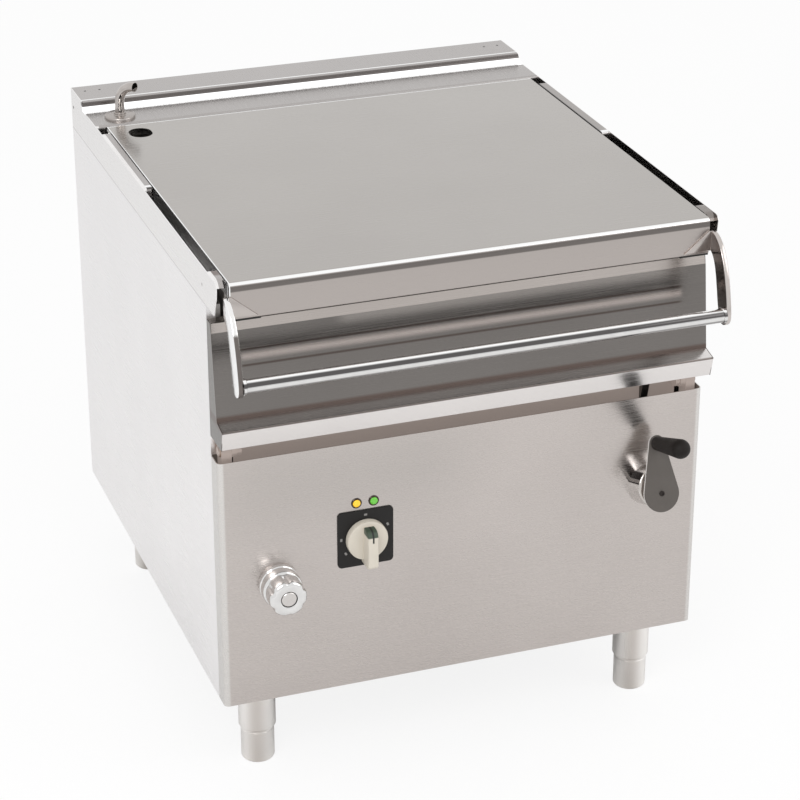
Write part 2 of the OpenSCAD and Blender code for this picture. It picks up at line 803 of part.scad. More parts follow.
// Ears on the pan's rim that carry the lid's pins
module hinge_ears() {
    ear_r = hinge_r + 3.5;
    color("gainsboro") place() both_sides() difference() {
        union() {
            rod_x(ear_x, ear_x + ear_t, hinge_y, hinge_z, ear_r);
            block([ear_x, hinge_y - 18, rim_z], [ear_x + ear_t, hinge_y + ear_r - 2, hinge_z - 2]);
        }
        rod_x(ear_x - 1, ear_x + ear_t + 1, hinge_y, hinge_z, hinge_r + run_gap);
    }
}

// Pins fixed in the lid's side flanges, turning in the pan's ears
module hinge_pins() {
    color("silver") place() both_sides() {
        rod_x(ear_x - 3, lid_half + 1, hinge_y, hinge_z, hinge_r);
        rod_x(lid_half + near_gap, lid_half + 1.6, hinge_y, hinge_z, hinge_r + 4);
        rod_x(ear_x - 5.5, ear_x - near_gap, hinge_y, hinge_z, hinge_r + 2);
    }
}

// Lid: a flat sheet with a deep front flange, side flanges and the hole for the water
module lid_panel() {
    side_z = worktop_z - lid_side_h;
    color("gainsboro") place() difference() {
        union() {
            along_x(-lid_half, lid_half) fold(concat(
                [[-lid_over + 14, rail_z + sheet / 2], [-lid_over + sheet / 2, rail_z + sheet / 2]],
                arc([-lid_over + lid_edge_r, worktop_z - lid_edge_r], lid_edge_r - sheet / 2, 180, 90, 8),
                [[lid_rear - sheet / 2, worktop_z - sheet / 2]]), sheet);
            both_sides() block([lid_half - sheet - 0.2, -lid_over + lid_edge_r + 2, side_z],
                [lid_half - 0.2, lid_rear - 0.2, worktop_z - sheet / 2]);
        }
        translate([-lid_half + water_hole_x, lid_rear - water_hole_y, worktop_z - 5])
            linear_extrude(10) round_rect(2 * water_hole_r, water_hole_l, water_hole_r - 0.01);
        both_sides() rod_x(lid_half - 3, lid_half + 1, hinge_y, hinge_z, hinge_r);
    }
}

// Points of a cubic curve from a to d
function curve(a, b, c, d, n = 8) = [for (i = [0 : n]) let (t = i / n, u = 1 - t)
    u * u * u * a + 3 * u * u * t * b + 3 * u * t * t * c + t * t * t * d];

// Outline of a handle arm in the YZ plane: it leaves the lid's corner and sweeps down to the bar
function arm_outline() = concat(
    curve([-lid_over, worktop_z - 20], [-lid_over - 35, worktop_z - 20], [-bar_out + 4, worktop_z - 62],
        [-bar_out - 8, bar_z + 4]),
    arc([-bar_out + arm_w / 2 - 6, bar_z - 3], arm_w / 2 + 2, 180, 350, 8),
    curve([-bar_out + arm_w - 4, bar_z + 3], [-bar_out + arm_w + 5, bar_z + 26], [-lid_over - 24, rail_z - 1],
        [-lid_over, rail_z + 5]));

// Two arms of flat bar that carry the handle
module handle_arms() {
    tab_w = 44;
    color("gainsboro") place() both_sides() {
        along_x(arm_in, arm_in + arm_t) polygon(arm_outline());
        // root plate on the lid's front flange
        along_y(-lid_over - 3, -lid_over) polygon([[arm_in + 1, rail_z + 5], [arm_in + 1, worktop_z - 20],
            [arm_in - 4, worktop_z - 20], [arm_in - tab_w, rail_z + 4]]);
    }
}

// Bar between the arms, with a collar at each end
module handle_bar() {
    collar_l = 5;
    color("silver") place() {
        rod_x(-arm_in, arm_in, -bar_out, bar_z, bar_r);
        both_sides() rod_x(arm_in - collar_l, arm_in, -bar_out, bar_z, bar_r + 1.5);
    }
}

// Screws that hold the arms' root plates, inside the lid's front flange
module handle_screws() {
    color("silver") place() both_sides() for (x = [10, 26])
        rod_y(arm_in - x, -lid_over + sheet, -lid_over + sheet + 3, rail_z + 14, 5);
}

// Worm with one right-hand thread on its upright shaft
module worm_shaft() {
    n = 24;
    root = worm_r - thread_ded;
    tip = worm_r + thread_add;
    half_pitch = (pitch - backlash) / 4;
    foot_w = half_pitch + thread_ded * tan(flank);
    top_w = half_pitch - thread_add * tan(flank);
    thread_l = worm_l - 2 * foot_w;
    rings = ceil(thread_l / pitch * n);
    from = -thread_l / 2;
    // the thread's crest lies between two teeth where the worm meets the sector
    phase = 90;
    thread = [for (i = [0 : rings])
        let (z = from + i * pitch / n, t = phase + i * 360 / n + from * 360 / pitch) each
        [for (q = [[root - 1, -foot_w], [tip, -top_w], [tip, top_w], [root - 1, foot_w]])
            [q[0] * cos(t), q[0] * sin(t), z + q[1]]]];
    faces = concat([[3, 2, 1, 0]], [[for (k = [0 : 3]) rings * 4 + k]],
        [for (i = [0 : rings - 1], k = [0 : 3]) let (a = i * 4 + k, b = i * 4 + (k + 1) % 4) each
            [[a, b, a + 4], [b, b + 4, a + 4]]]);
    color("gainsboro") place() translate([crank_x, worm_y, 0]) {
        translate([0, 0, axis_z]) polyhedron(thread, faces, convexity = 6);
        translate([0, 0, axis_z - worm_l / 2 - 3]) cylinder(r = root, h = worm_l + 6 - near_gap);
        translate([0, 0, gear_z - 8])
            cylinder(r = worm_journal_r, h = bracket_z + bracket_t + 2 - gear_z + 8);
    }
}

// Closed gearbox behind the control panel, with a snout along the tilted shaft
module gearbox() {
    snout = 22;
    foot_h = 10;
    color("slategray") place() difference() {
        union() {
            block([crank_x - box_half, worm_y - box_half, gear_z - box_half],
                [crank_x + box_half, worm_y + box_half, gear_z + box_half]);
            intersection() {
                on_shaft() translate([0, 0, -shaft_in - box_half - snout])
                    cylinder(r = shaft_r + 8, h = box_half + snout);
                block([0, 0, 0], [width, worm_y, height]);
            }
            translate([crank_x, worm_y, gear_z]) cylinder(r = worm_journal_r + 8, h = box_half + 12);
            // mounting bracket that reaches the cabinet's frame
            block([crank_x + box_half - 4, worm_y - 20, gear_z - box_half],
                [half_w - sheet - near_gap, worm_y + 20, gear_z - box_half + foot_h]);
            block([half_w - sheet - 8, worm_y - 20, gear_z - box_half],
                [half_w - sheet, worm_y + 20, gear_z + box_half]);
        }
        on_shaft() translate([0, 0, 17 - shaft_in - box_half]) cylinder(r = shaft_r + run_gap, h = shaft_in);
        translate([crank_x, worm_y, gear_z - 9]) cylinder(r = worm_journal_r + run_gap, h = box_half + 40);
    }
}

// Arm on the mid rail that steadies the top of the worm shaft
module worm_bracket() {
    reach = 16;
    color("slategray") place() difference() {
        block([crank_x - reach, worm_y - 9, bracket_z],
            [post_in + tube_w - 2, worm_y + reach + 4, bracket_z + bracket_t]);
        translate([crank_x, worm_y, bracket_z - 1]) cylinder(r = worm_journal_r + run_gap, h = bracket_t + 2);
    }
}

// Puts a drawing on the crank's shaft: Z runs out along it from the panel's face, Y up the lever
module on_shaft() {
    translate([crank_x, 0, crank_z]) rotate([90 - shaft_tilt, 0, 0]) children();
}

// Chrome boss where the crank's shaft leaves the panel
module crank_boss() {
    back = (boss_r + boss_up) * tan(shaft_tilt) + 1;
    color("silver") place() difference() {
        intersection() {
            on_shaft() translate([0, boss_up, 0]) rotate_extrude()
                polygon([[0, -back], [boss_r, -back], [boss_r, boss_l - 3], [boss_r - 1, boss_l - 1],
                    [boss_r - 3, boss_l], [0, boss_l]]);
            block([crank_x - 2 * boss_r, -2 * lever_out, crank_z - 3 * boss_r],
                [crank_x + 2 * boss_r, 0, crank_z + 3 * boss_r]);
        }
        on_shaft() translate([0, 0, -back - 1]) cylinder(r = shaft_r + run_gap, h = boss_l + back + 2);
    }
}

// Crank's shaft, from the lever to the gearbox
module crank_shaft() {
    color("gainsboro") place() on_shaft() difference() {
        translate([0, 0, 20 - shaft_in]) cylinder(r = shaft_r, h = lever_out - lever_t + shaft_in - 20);
        translate([0, 0, lever_out - 20]) cylinder(r = 2.5, h = 20);
    }
}

// Teardrop outline of the lever, with the grip's axis straight up
module lever_plate() {
    lean = asin((lever_big_r - lever_small_r) / lever_l);
    circle(r = lever_big_r);
    translate([0, lever_l]) circle(r = lever_small_r);
    polygon([for (p = [[1, 0, lever_big_r], [1, 1, lever_small_r], [-1, 1, lever_small_r],
        [-1, 0, lever_big_r]])
        [p[0] * p[2] * cos(lean), p[1] * lever_l + p[2] * sin(lean)]]);
}

// Teardrop lever with the pin that carries the grip
module crank_lever() {
    color("dimgray") place() on_shaft() {
        difference() {
            translate([0, 0, lever_out - lever_t]) linear_extrude(lever_t) lever_plate();
            translate([0, 0, lever_out - lever_t - 1]) cylinder(r = 2.6, h = lever_t + 2);
        }
        translate([0, lever_l, lever_out - 1]) cylinder(r = grip_pin_r, h = grip_l - 8);
    }
}

// Screw that holds the lever on its shaft, with a slotted flat head
module crank_screw() {
    color("dimgray") place() on_shaft() difference() {
        union() {
            translate([0, 0, lever_out]) cylinder(r = 4.4, h = 1.4);
            translate([0, 0, lever_out - 16]) cylinder(r = 2.5, h = 16.5);
        }
        translate([-0.7, -5, lever_out + 0.6]) cube([1.4, 10, 2]);
    }
}

// Tapered grip with a round end, turning on its pin
module crank_grip() {
    root = 0.8;
    color("black") place() on_shaft() translate([0, lever_l, lever_out]) difference() {
        rotate_extrude() polygon(concat([[0, root], [grip_root_r - 2, root], [grip_root_r, root + 2]],
            arc([0, grip_l], grip_end_r, 0, 90, 12)));
        translate([0, 0, -1]) cylinder(r = grip_pin_r + run_gap, h = grip_l - 6);
    }
}

// Plate behind the selector's knob
module dial_plate() {
    color("black") place() difference() {
        translate([-dial_x, 0, leg_h + dial_z]) rotate([90, 0, 0])
            linear_extrude(plate_t) round_rect(dial_w, dial_h, 7);
        rod_y(-dial_x, -4, 1, leg_h + dial_z, 5);
    }
}

// Thermostat behind the panel, with its spindle through the plate
module thermostat() {
    color("darkslategray") place() {
        difference() {
            block([-dial_x - 26, 2 * sheet + near_gap, leg_h + dial_z - 24],
                [-dial_x + 26, 46, leg_h + dial_z + 24]);
            block([-dial_x - 14, 40, leg_h + dial_z - 14], [-dial_x + 14, 47, leg_h + dial_z + 14]);
        }
        rod_y(-dial_x, -18, 2 * sheet + near_gap + 1, leg_h + dial_z, spindle_r);
        for (s = [-1, 1]) block([-dial_x + s * 20 - 4, sheet, leg_h + dial_z - 6],
            [-dial_x + s * 20 + 4, 5, leg_h + dial_z + 6]);
    }
}

// Round knob with an upright grip bar that runs past its lower edge
module selector_knob() {
    skirt = 18;
    bar_w = 17;
    bar_top = 6;
    bar_foot = 6;
    z0 = leg_h + dial_z;
    face = plate_t + near_gap;
    color("beige") place() difference() {
        union() {
            translate([-dial_x, -face, z0]) rotate([90, 0, 0]) rotate_extrude()
                polygon([[0, 0], [knob_r - 1, 0], [knob_r, 1], [knob_r, skirt - 2],
                    [knob_r - 2, skirt], [0, skirt]]);
            translate([-dial_x - bar_w / 2, 0, z0]) rotate([90, 0, 90]) linear_extrude(bar_w) polygon(concat(
                [[-face - 3, -knob_r - bar_foot], [-face - 3, knob_r - bar_top]],
                arc([-knob_d + 12, knob_r - bar_top - 12], 12, 90, 160, 5),
                arc([-knob_d + 8, -knob_r - bar_foot + 8], 8, 190, 270, 5)));
        }
        rod_y(-dial_x, -20, 1, z0, spindle_r + run_gap);
    }
}

function lamp_places() = [-dial_x - lamp_pitch / 2, -dial_x + lamp_pitch / 2];

// Rims of the two indicator lamps
module lamp_rims() {
    color("silver") place() for (x = lamp_places()) difference() {
        union() {
            rod_y(x, -1.6, 0, lamp_z(), lamp_r + 1.5);
            rod_y(x, 0, 14, lamp_z(), lamp_r - 2 - near_gap);
        }
        rod_y(x, -2, 10, lamp_z(), lamp_r - 3.5);
    }
}

// Domed lens of a lamp, plugged into its rim
module lamp_lens(x) {
    translate([x, -1.6, lamp_z()]) rotate([90, 0, 0]) {
        rotate_extrude() polygon(concat([[0, 0]], arc([0, -5], 8, asin(5 / 8), 90, 6)));
        translate([0, 0, -8]) cylinder(r = lamp_r - 3.6, h = 9);
    }
}

module lamp_amber() { color("gold") place() lamp_lens(lamp_places()[0]); }
module lamp_green() { color("limegreen") place() lamp_lens(lamp_places()[1]); }

// Valve behind the panel and the chrome bonnet in front of it
module tap_body() {
    z0 = leg_h + tap_z;
    color("silver") place() {
        translate([-tap_x, 0, z0]) rotate([90, 0, 0]) rotate_extrude()
            polygon(concat([[0, 0], [bonnet_r, 0], [bonnet_r, bonnet_l - 4]],
                arc([bonnet_r - 4, bonnet_l - 4], 4, 0, 80, 5), [[0, bonnet_l]]));
        rod_y(-tap_x, -tap_out + 12, 0, z0, tap_stem_r);
        rod_y(-tap_x, 0, tap_port_y + 12, z0, 10.6);
        rod_y(-tap_x, 12, 18, z0, 16);
        translate([-tap_x, tap_port_y, z0 - tap_port_h]) cylinder(r = pipe_r + 3, h = 2 * tap_port_h);
    }
}

// Knob of the tap with six lobes and a recessed centre
module tap_knob() {
    z0 = leg_h + tap_z;
    root = bonnet_l + near_gap;
    flute_r = 6.5;
    color("silver") place() translate([-tap_x, 0, z0]) rotate([90, 0, 0]) difference() {
        translate([0, 0, root]) rotate_extrude() polygon(concat(
            [[0, 0], [tap_knob_r - 2, 0], [tap_knob_r, 2]],
            arc([tap_knob_r - 5, tap_out - root - 5], 5, 0, 90, 5), [[0, tap_out - root]]));
        for (i = [0 : 5]) rotate([0, 0, i * 60 + 30]) translate([tap_knob_r + 3.5, 0, root - 1])
            cylinder(r = flute_r, h = tap_out - root + 2);
        translate([0, 0, tap_out - 2.4]) difference() {
            cylinder(r = 13, h = 4);
            translate([0, 0, -1]) cylinder(r = 11.5, h = 2.6);
        }
        translate([0, 0, root - 1]) cylinder(r = tap_stem_r + run_gap, h = tap_out - root - 10);
    }
}

// Swan neck spout on its base disc
module water_spout() {
    disc_t = 5;
    sweep = 90;
    mouth = 5;
    color("silver") place() translate([spout_x, spout_y, worktop_z]) {
        rotate_extrude() polygon([[0, 0], [spout_disc_r, 0], [spout_disc_r, disc_t - 2],
            [spout_disc_r - 2, disc_t], [spout_r + 2, disc_t], [spout_r + 2, disc_t + 4], [0, disc_t + 4]]);
        rotate([0, 0, spout_turn]) difference() {
            union() {
                translate([0, 0, 1]) cylinder(r = spout_r, h = spout_rise - 1);
                translate([0, -spout_bend_r, spout_rise]) rotate([90, 0, 90])
                    rotate_extrude(angle = sweep) translate([spout_bend_r, 0]) circle(r = spout_r);
            }
            translate([0, -spout_bend_r, spout_rise]) rotate([sweep, 0, 0])
                translate([0, spout_bend_r, -mouth]) cylinder(r = spout_r - 1.3, h = 2 * mouth);
        }
    }
}

// Pipe from the tap up to the spout
module spout_pipe() {
    z0 = leg_h + tap_z;
    x0 = spout_x;
    y0 = spout_y;
    low = z0 + 60;
    color("peru") place() {
        translate([-tap_x, tap_port_y, z0 + tap_port_h]) cylinder(r = pipe_r, h = low - z0 - tap_port_h);
        translate([-tap_x, tap_port_y, low]) sphere(r = pipe_r);
        rod_y(-tap_x, tap_port_y, y0, low, pipe_r);
        translate([-tap_x, y0, low]) sphere(r = pipe_r);
        rod_x(x0, -tap_x, y0, low, pipe_r);
        translate([x0, y0, low]) sphere(r = pipe_r);
        translate([x0, y0, low]) cylinder(r = pipe_r, h = worktop_z - sheet - low);
    }
}

// Pipe from the inlet at the back to the tap
module inlet_pipe() {
    z0 = leg_h + tap_z;
    color("peru") place() {
        translate([-tap_x, tap_port_y, inlet_z()])
            cylinder(r = pipe_r, h = z0 - tap_port_h - inlet_z());
        translate([-tap_x, tap_port_y, inlet_z()]) sphere(r = pipe_r);
        rod_y(-tap_x, tap_port_y, depth - 30, inlet_z(), pipe_r);
        difference() {
            union() {
                rod_y(inlet_x(), depth - 34, back_reach, inlet_z(), inlet_r);
                rod_y(inlet_x(), depth - 12, depth - sheet, inlet_z(), inlet_r + 5);
            }
            rod_y(inlet_x(), depth - 8, back_reach + 1, inlet_z(), inlet_r - 3);
        }
    }
}

// Box on the cabinet floor with the contactor and the terminals
module contactor_box() {
    wide = 160;
    deep = 120;
    tall = 90;
    wall = 3;
    from_rear = 110;
    color("darkslategray") place() {
        translate([gland_x(), depth - from_rear - deep / 2, leg_h + 2 * sheet]) {
            difference() {
                block([-wide / 2, -deep / 2, 0], [wide / 2, deep / 2, tall]);
                block([-wide / 2 + wall, -deep / 2 + wall, wall],
                    [wide / 2 - wall, deep / 2 - wall, tall + wall]);
            }
            // contactor, and a row of terminals beside it
            block([-60, -40, wall], [-10, 30, 71]);
            for (i = [0 : 4]) block([4 + i * 12, -30, wall], [14 + i * 12, 20, 37]);
        }
    }
}

// Gland where the supply cable would enter at the back
module cable_gland() {
    color("dimgray") place() difference() {
        union() {
            rod_y(gland_x(), depth - 14, depth + 6, gland_z(), gland_r());
            rod_y(gland_x(), depth, depth + 6, gland_z(), gland_r() + 4);
            rod_y(gland_x(), depth - 8, depth - sheet, gland_z(), gland_r() + 4);
            rod_y(gland_x(), depth + 6, depth + inlet_l - 4, gland_z(), gland_r());
        }
        rod_y(gland_x(), depth - 15, depth + inlet_l, gland_z(), gland_hole_r);
    }
}

// Switch on the left mid rail that cuts the heat when the pan is tilted
module limit_switch() {
    y0 = jacket_rear - 60;
    color("dimgray") place() {
        block([-post_in + near_gap, y0, mid_rail_z - 14], [-post_in + 18, y0 + 40, jacket_z - 10]);
        translate([-post_in + 10, y0 + 20, jacket_z - 10]) cylinder(r = 3, h = 10 - near_gap);
    }
}

// Screws that hold the side panels to the frame at the back
module panel_screws() {
    color("silver") place() both_sides()
        for (z = [leg_h + screw_gap, leg_h + screw_mid, rail_z - screw_gap])
            translate([half_w - 8, depth, z]) rotate([-90, 0, 0]) cylinder(r = 4, h = 2.2);
}

base_frame();
leg_sleeves();
foot_front_left();
foot_front_right();
foot_rear_left();
foot_rear_right();
side_panel_left();
side_panel_right();
control_panel();
rear_panel();
bottom_panel();
worktop();
side_rails();
bearing_blocks();
bearing_bushes();
pan_vessel();
pan_jacket();
pan_casing();
pan_insulation();
heating_elements();
pivot_plates();
pivot_pins();
tilt_sector();
hinge_ears();
hinge_pins();
lid_panel();
handle_arms();
handle_bar();
handle_screws();
worm_shaft();
gearbox();
worm_bracket();
crank_boss();
crank_shaft();
crank_lever();
crank_screw();
crank_grip();
dial_plate();
thermostat();
selector_knob();
lamp_rims();
lamp_amber();
lamp_green();
tap_body();
tap_knob();
water_spout();
spout_pipe();
inlet_pipe();
contactor_box();
cable_gland();
limit_switch();
panel_screws();
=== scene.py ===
import math
import bpy
import bmesh
from mathutils import Matrix, Vector


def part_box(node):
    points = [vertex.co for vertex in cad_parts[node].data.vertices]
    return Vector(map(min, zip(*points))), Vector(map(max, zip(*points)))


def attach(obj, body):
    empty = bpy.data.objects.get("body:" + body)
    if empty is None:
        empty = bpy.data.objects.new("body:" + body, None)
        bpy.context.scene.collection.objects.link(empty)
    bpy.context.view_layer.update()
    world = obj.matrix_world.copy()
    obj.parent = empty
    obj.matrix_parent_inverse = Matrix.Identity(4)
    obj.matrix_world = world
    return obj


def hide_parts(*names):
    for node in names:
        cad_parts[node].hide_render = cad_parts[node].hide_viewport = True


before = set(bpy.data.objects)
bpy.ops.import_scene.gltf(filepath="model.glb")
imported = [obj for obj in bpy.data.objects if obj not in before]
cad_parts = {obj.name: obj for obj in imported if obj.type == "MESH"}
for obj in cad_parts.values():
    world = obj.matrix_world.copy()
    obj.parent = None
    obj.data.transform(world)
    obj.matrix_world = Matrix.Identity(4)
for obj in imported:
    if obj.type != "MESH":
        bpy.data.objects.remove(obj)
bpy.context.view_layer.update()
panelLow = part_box("control_panel")[0]
frontY = panelLow[1]  # the control panel's face, where y is 0 in the drawing
footZ = panelLow[2] - 0.16  # the drawing's floor level; the panel's foot is at z 160 there
print("frame loaded:", len(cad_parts), "nodes")


# Places and lengths are written in millimetres, as on the drawing
def at(x, y, z):
    return Vector((x / 1000, frontY + y / 1000, footZ + z / 1000))


def placed(name, data):
    piece = bpy.data.objects.new(name, data)
    bpy.context.scene.collection.objects.link(piece)
    return piece


# Camera, at the place that was fitted to the photo
camera = {"place": (-1319, -3353, 2332), "azimuth": 19.83, "elevation": 25.33, "lens": 117,
          "sensor": 36, "near": 0.1, "far": 60}


def setCamera():
    data = bpy.data.cameras.new("camera")
    data.lens, data.sensor_width = camera["lens"], camera["sensor"]
    data.clip_start, data.clip_end = camera["near"], camera["far"]
    cam = placed("camera", data)
    cam.location = at(*camera["place"])
    a, e = math.radians(camera["azimuth"]), math.radians(camera["elevation"])
    ahead = Vector((math.sin(a) * math.cos(e), math.cos(a) * math.cos(e), -math.sin(e)))
    cam.rotation_mode = "QUATERNION"
    cam.rotation_quaternion = ahead.to_track_quat("-Z", "Y")
    bpy.context.scene.camera = cam


setCamera()


# Nodes: each input takes a value, or what another node puts out
def feed(tree, node, inputs):
    for key, value in inputs.items():
        if isinstance(value, bpy.types.NodeSocket):
            tree.links.new(value, node.inputs[key])
        else:
            node.inputs[key].default_value = value


def addNode(tree, kind, inputs=None, **settings):
    node = tree.nodes.new(kind)
    for key, value in settings.items():
        setattr(node, key, value)
    feed(tree, node, inputs or {})
    return node


def addMath(tree, operation, first, second):
    return addNode(tree, "ShaderNodeMath", {0: first, 1: second}, operation=operation).outputs["Value"]


def addMix(tree, factor, first, second, **settings):
    return addNode(tree, "ShaderNodeMix", {0: factor, 6: first, 7: second}, data_type="RGBA", **settings).outputs[2]


def addNoise(tree, size, detail, scale=(1.0, 1.0, 1.0)):
    where = addNode(tree, "ShaderNodeTexCoord")
    turn = addNode(tree, "ShaderNodeMapping", {"Vector": where.outputs["Object"], "Scale": scale})
    noise = addNode(tree, "ShaderNodeTexNoise", {"Vector": turn.outputs["Vector"], "Scale": size, "Detail": detail})
    return noise.outputs["Fac"]


def ranged(tree, source, low, high, fromLow=0.3, fromHigh=0.7, **settings):
    span = addNode(tree, "ShaderNodeMapRange", {"Value": source, "From Min": fromLow, "From Max": fromHigh,
                                                "To Min": low, "To Max": high}, **settings)
    return span.outputs["Result"]


def addBump(tree, shader, height, strength, distance):
    bump = addNode(tree, "ShaderNodeBump", {"Height": height, "Strength": strength, "Distance": distance})
    tree.links.new(bump.outputs["Normal"], shader.inputs["Normal"])


# Materials
def startMaterial(name):
    mat = bpy.data.materials.new(name)
    mat.use_nodes = True
    return mat, mat.node_tree, mat.node_tree.nodes["Principled BSDF"]


def linear(rgb):
    return tuple((c / 255 / 12.92) if c <= 10 else ((c / 255 + 0.055) / 1.055) ** 2.4 for c in rgb) + (1.0,)


def shifted(colour, change):
    return tuple(min(255, max(0, c + change)) for c in colour)


def clouded(tree, noise, first, second):
    return addMix(tree, ranged(tree, noise, 0.0, 1.0), linear(first), linear(second))


# Colour zones: each is a colour and the spans where it shows, in millimetres on the drawing,
# along X, Y, Z, up or out along the crank's leaning shaft, or across the line of sight
shaft = {"x": 311, "z": 419, "lean": 19}
lean = math.radians(shaft["lean"])
ways = {"x": (1, 0, 0), "y": (0, 1, 0), "z": (0, 0, 1), "up": (0, math.sin(lean), math.cos(lean)),
        "out": (0, -math.cos(lean), math.sin(lean)), "across": (0.941, -0.339, 0)}


def spanFactor(tree, way, low, high, soft):
    where = addNode(tree, "ShaderNodeTexCoord")
    dot = addNode(tree, "ShaderNodeVectorMath", {0: where.outputs["Object"], 1: ways[way]}, operation="DOT_PRODUCT")
    start = Vector(ways[way]).dot(at(0, 0, 0))
    steps = [ranged(tree, dot.outputs["Value"], first, last, start + (edge - soft) / 1000, start + (edge + soft) / 1000,
                    interpolation_type="SMOOTHSTEP") for edge, first, last in ((low, 0.0, 1.0), (high, 1.0, 0.0))]
    return addMath(tree, "MULTIPLY", *steps)


# Each zone mixes its colour in: most zones are painted highlights, painted reflections and painted shade, and the
# selector knob's zones are its print
def zoned(tree, base, zones):
    for colour, spans in zones:
        factor = spanFactor(tree, *spans[0])
        for span in spans[1:]:
            factor = addMath(tree, "MULTIPLY", factor, spanFactor(tree, *span))
        base = addMix(tree, factor, base, linear(colour))
    return base


# Satin stainless sheet: streaks along one axis, slow cloudiness and a fine brushed bump, with zones of painted
# highlight, reflection and shade, and a painted glow in the lit zones
brushed = {"fine": 900.0, "slow": 9.0, "cloud": 3.5, "streak": 0.972, "bump": 0.06, "bumpDepth": 0.0002}


def brushedSteel(name, colour, along="X", rough=0.3, spread=9, metallic=1.0, zones=(), lift=0.0, lit=()):
    mat, tree, shader = startMaterial(name)
    fine, slow = brushed["fine"], brushed["slow"]
    scale = {"X": (slow, fine, fine), "Y": (fine, slow, fine), "Z": (fine, fine, slow)}[along]
    streak = addNoise(tree, 1.0, 2.0, scale)
    cloud = addNoise(tree, brushed["cloud"], 3.0)
    base = zoned(tree, clouded(tree, cloud, shifted(colour, -spread), shifted(colour, spread)), zones)
    line = ranged(tree, streak, brushed["streak"], 1.0)
    grey = addNode(tree, "ShaderNodeCombineColor", {"Red": line, "Green": line, "Blue": line})
    base = addMix(tree, 1.0, base, grey.outputs["Color"], blend_type="MULTIPLY")
    glow = base
    # the lit zones emit their own colour: painted light from a part that is no lamp
    if lit:
        none = addNode(tree, "ShaderNodeRGB")
        none.outputs[0].default_value = (0, 0, 0, 1)
        glow = zoned(tree, none.outputs[0], lit)
    feed(tree, shader, {"Base Color": base, "Emission Color": glow, "Emission Strength": lift, "Metallic": metallic,
                        "Roughness": ranged(tree, streak, rough - 0.05, rough + 0.06)})
    addBump(tree, shader, streak, brushed["bump"], brushed["bumpDepth"])
    return mat


# Polished plating with faint smears, and zones of painted reflection and highlight
def polished(name, colour, rough=0.06, zones=()):
    mat, tree, shader = startMaterial(name)
    smear = addNoise(tree, 60.0, 4.0)
    base = clouded(tree, smear, shifted(colour, -10), colour)
    feed(tree, shader, {"Base Color": zoned(tree, base, zones), "Metallic": 1.0,
                        "Roughness": ranged(tree, smear, rough * 0.7, rough * 1.5)})
    return mat


# Moulded plastic or paint with a fine grain
def moulded(name, colour, rough=0.45, grain=1800.0, depth=0.15, spread=6, coat=0.0, zones=(), shine=0.5):
    mat, tree, shader = startMaterial(name)
    cloud = addNoise(tree, 40.0, 3.0)
    base = clouded(tree, cloud, colour, shifted(colour, spread))
    feed(tree, shader, {"Base Color": zoned(tree, base, zones), "Coat Weight": coat, "Specular IOR Level": shine,
                        "Roughness": ranged(tree, cloud, rough - 0.05, rough + 0.06)})
    addBump(tree, shader, addNoise(tree, grain, 2.0), depth, 0.0003)
    return mat


# Coloured lamp lens, lit from behind
def lampGlass(name, colour, glow):
    mat = moulded(name, colour, rough=0.18, grain=300.0, depth=0.05, spread=14, coat=0.6)
    shader = mat.node_tree.nodes["Principled BSDF"]
    feed(mat.node_tree, shader, {"Emission Color": linear(colour), "Emission Strength": glow})
    return mat


# Loose fibre board
def woolBoard(name, colour):
    mat, tree, shader = startMaterial(name)
    fibre = addNoise(tree, 220.0, 6.0, (1.0, 1.0, 4.0))
    darker = tuple(int(c * 0.7) for c in colour)
    feed(tree, shader, {"Base Color": clouded(tree, fibre, darker, colour), "Roughness": 0.95})
    addBump(tree, shader, fibre, 0.7, 0.002)
    return mat


def crankUp(v):
    return v + shaft["z"] * math.cos(lean)


def crankOut(v):
    return v + shaft["z"] * math.sin(lean)


# Colours of painted light: white for painted highlights, dark for painted dark reflection lines, pale for pale painted
# highlights, shadow for painted shadow in gaps, and a light grey for painted highlights on the panel's rounded corners
white, dark, pale, shadow, cornerHighlight = (252, 252, 252), (112, 107, 104), (240, 238, 237), (36, 33, 32), (211, 208, 205)
# Lid: the front flange painted a little darker as painted shade, a painted highlight on the rounded front edge with a
# painted dark reflection line below it, and painted highlight lines along the left and rear edges
lidPaintedLight = [((174, 167, 163), [("y", -60, -27, 1.5)]),
            (white, [("y", -60, -26.2, 0.6), ("z", 882, 890, 0.7)]),
            (dark, [("y", -60, -27, 1.0), ("z", 872.6, 881, 1.2)]),
            (white, [("x", -384, -380.3, 0.3)]),
            (white, [("y", 685.8, 690, 0.3), ("z", 880, 890, 1.0)])]
# A painted highlight on the upstand's slope, which also glows in the worktop's finish
slopeHighlight = ((251, 251, 251), [("y", 766, 789, 0.5), ("z", 884, 891.8, 0.4)])
leftRail = [("x", -393.6, -384, 0.5), ("z", 884, 890, 0.6)]
rightRail = [("x", 384, 402, 0.4), ("z", 884, 890, 0.6)]
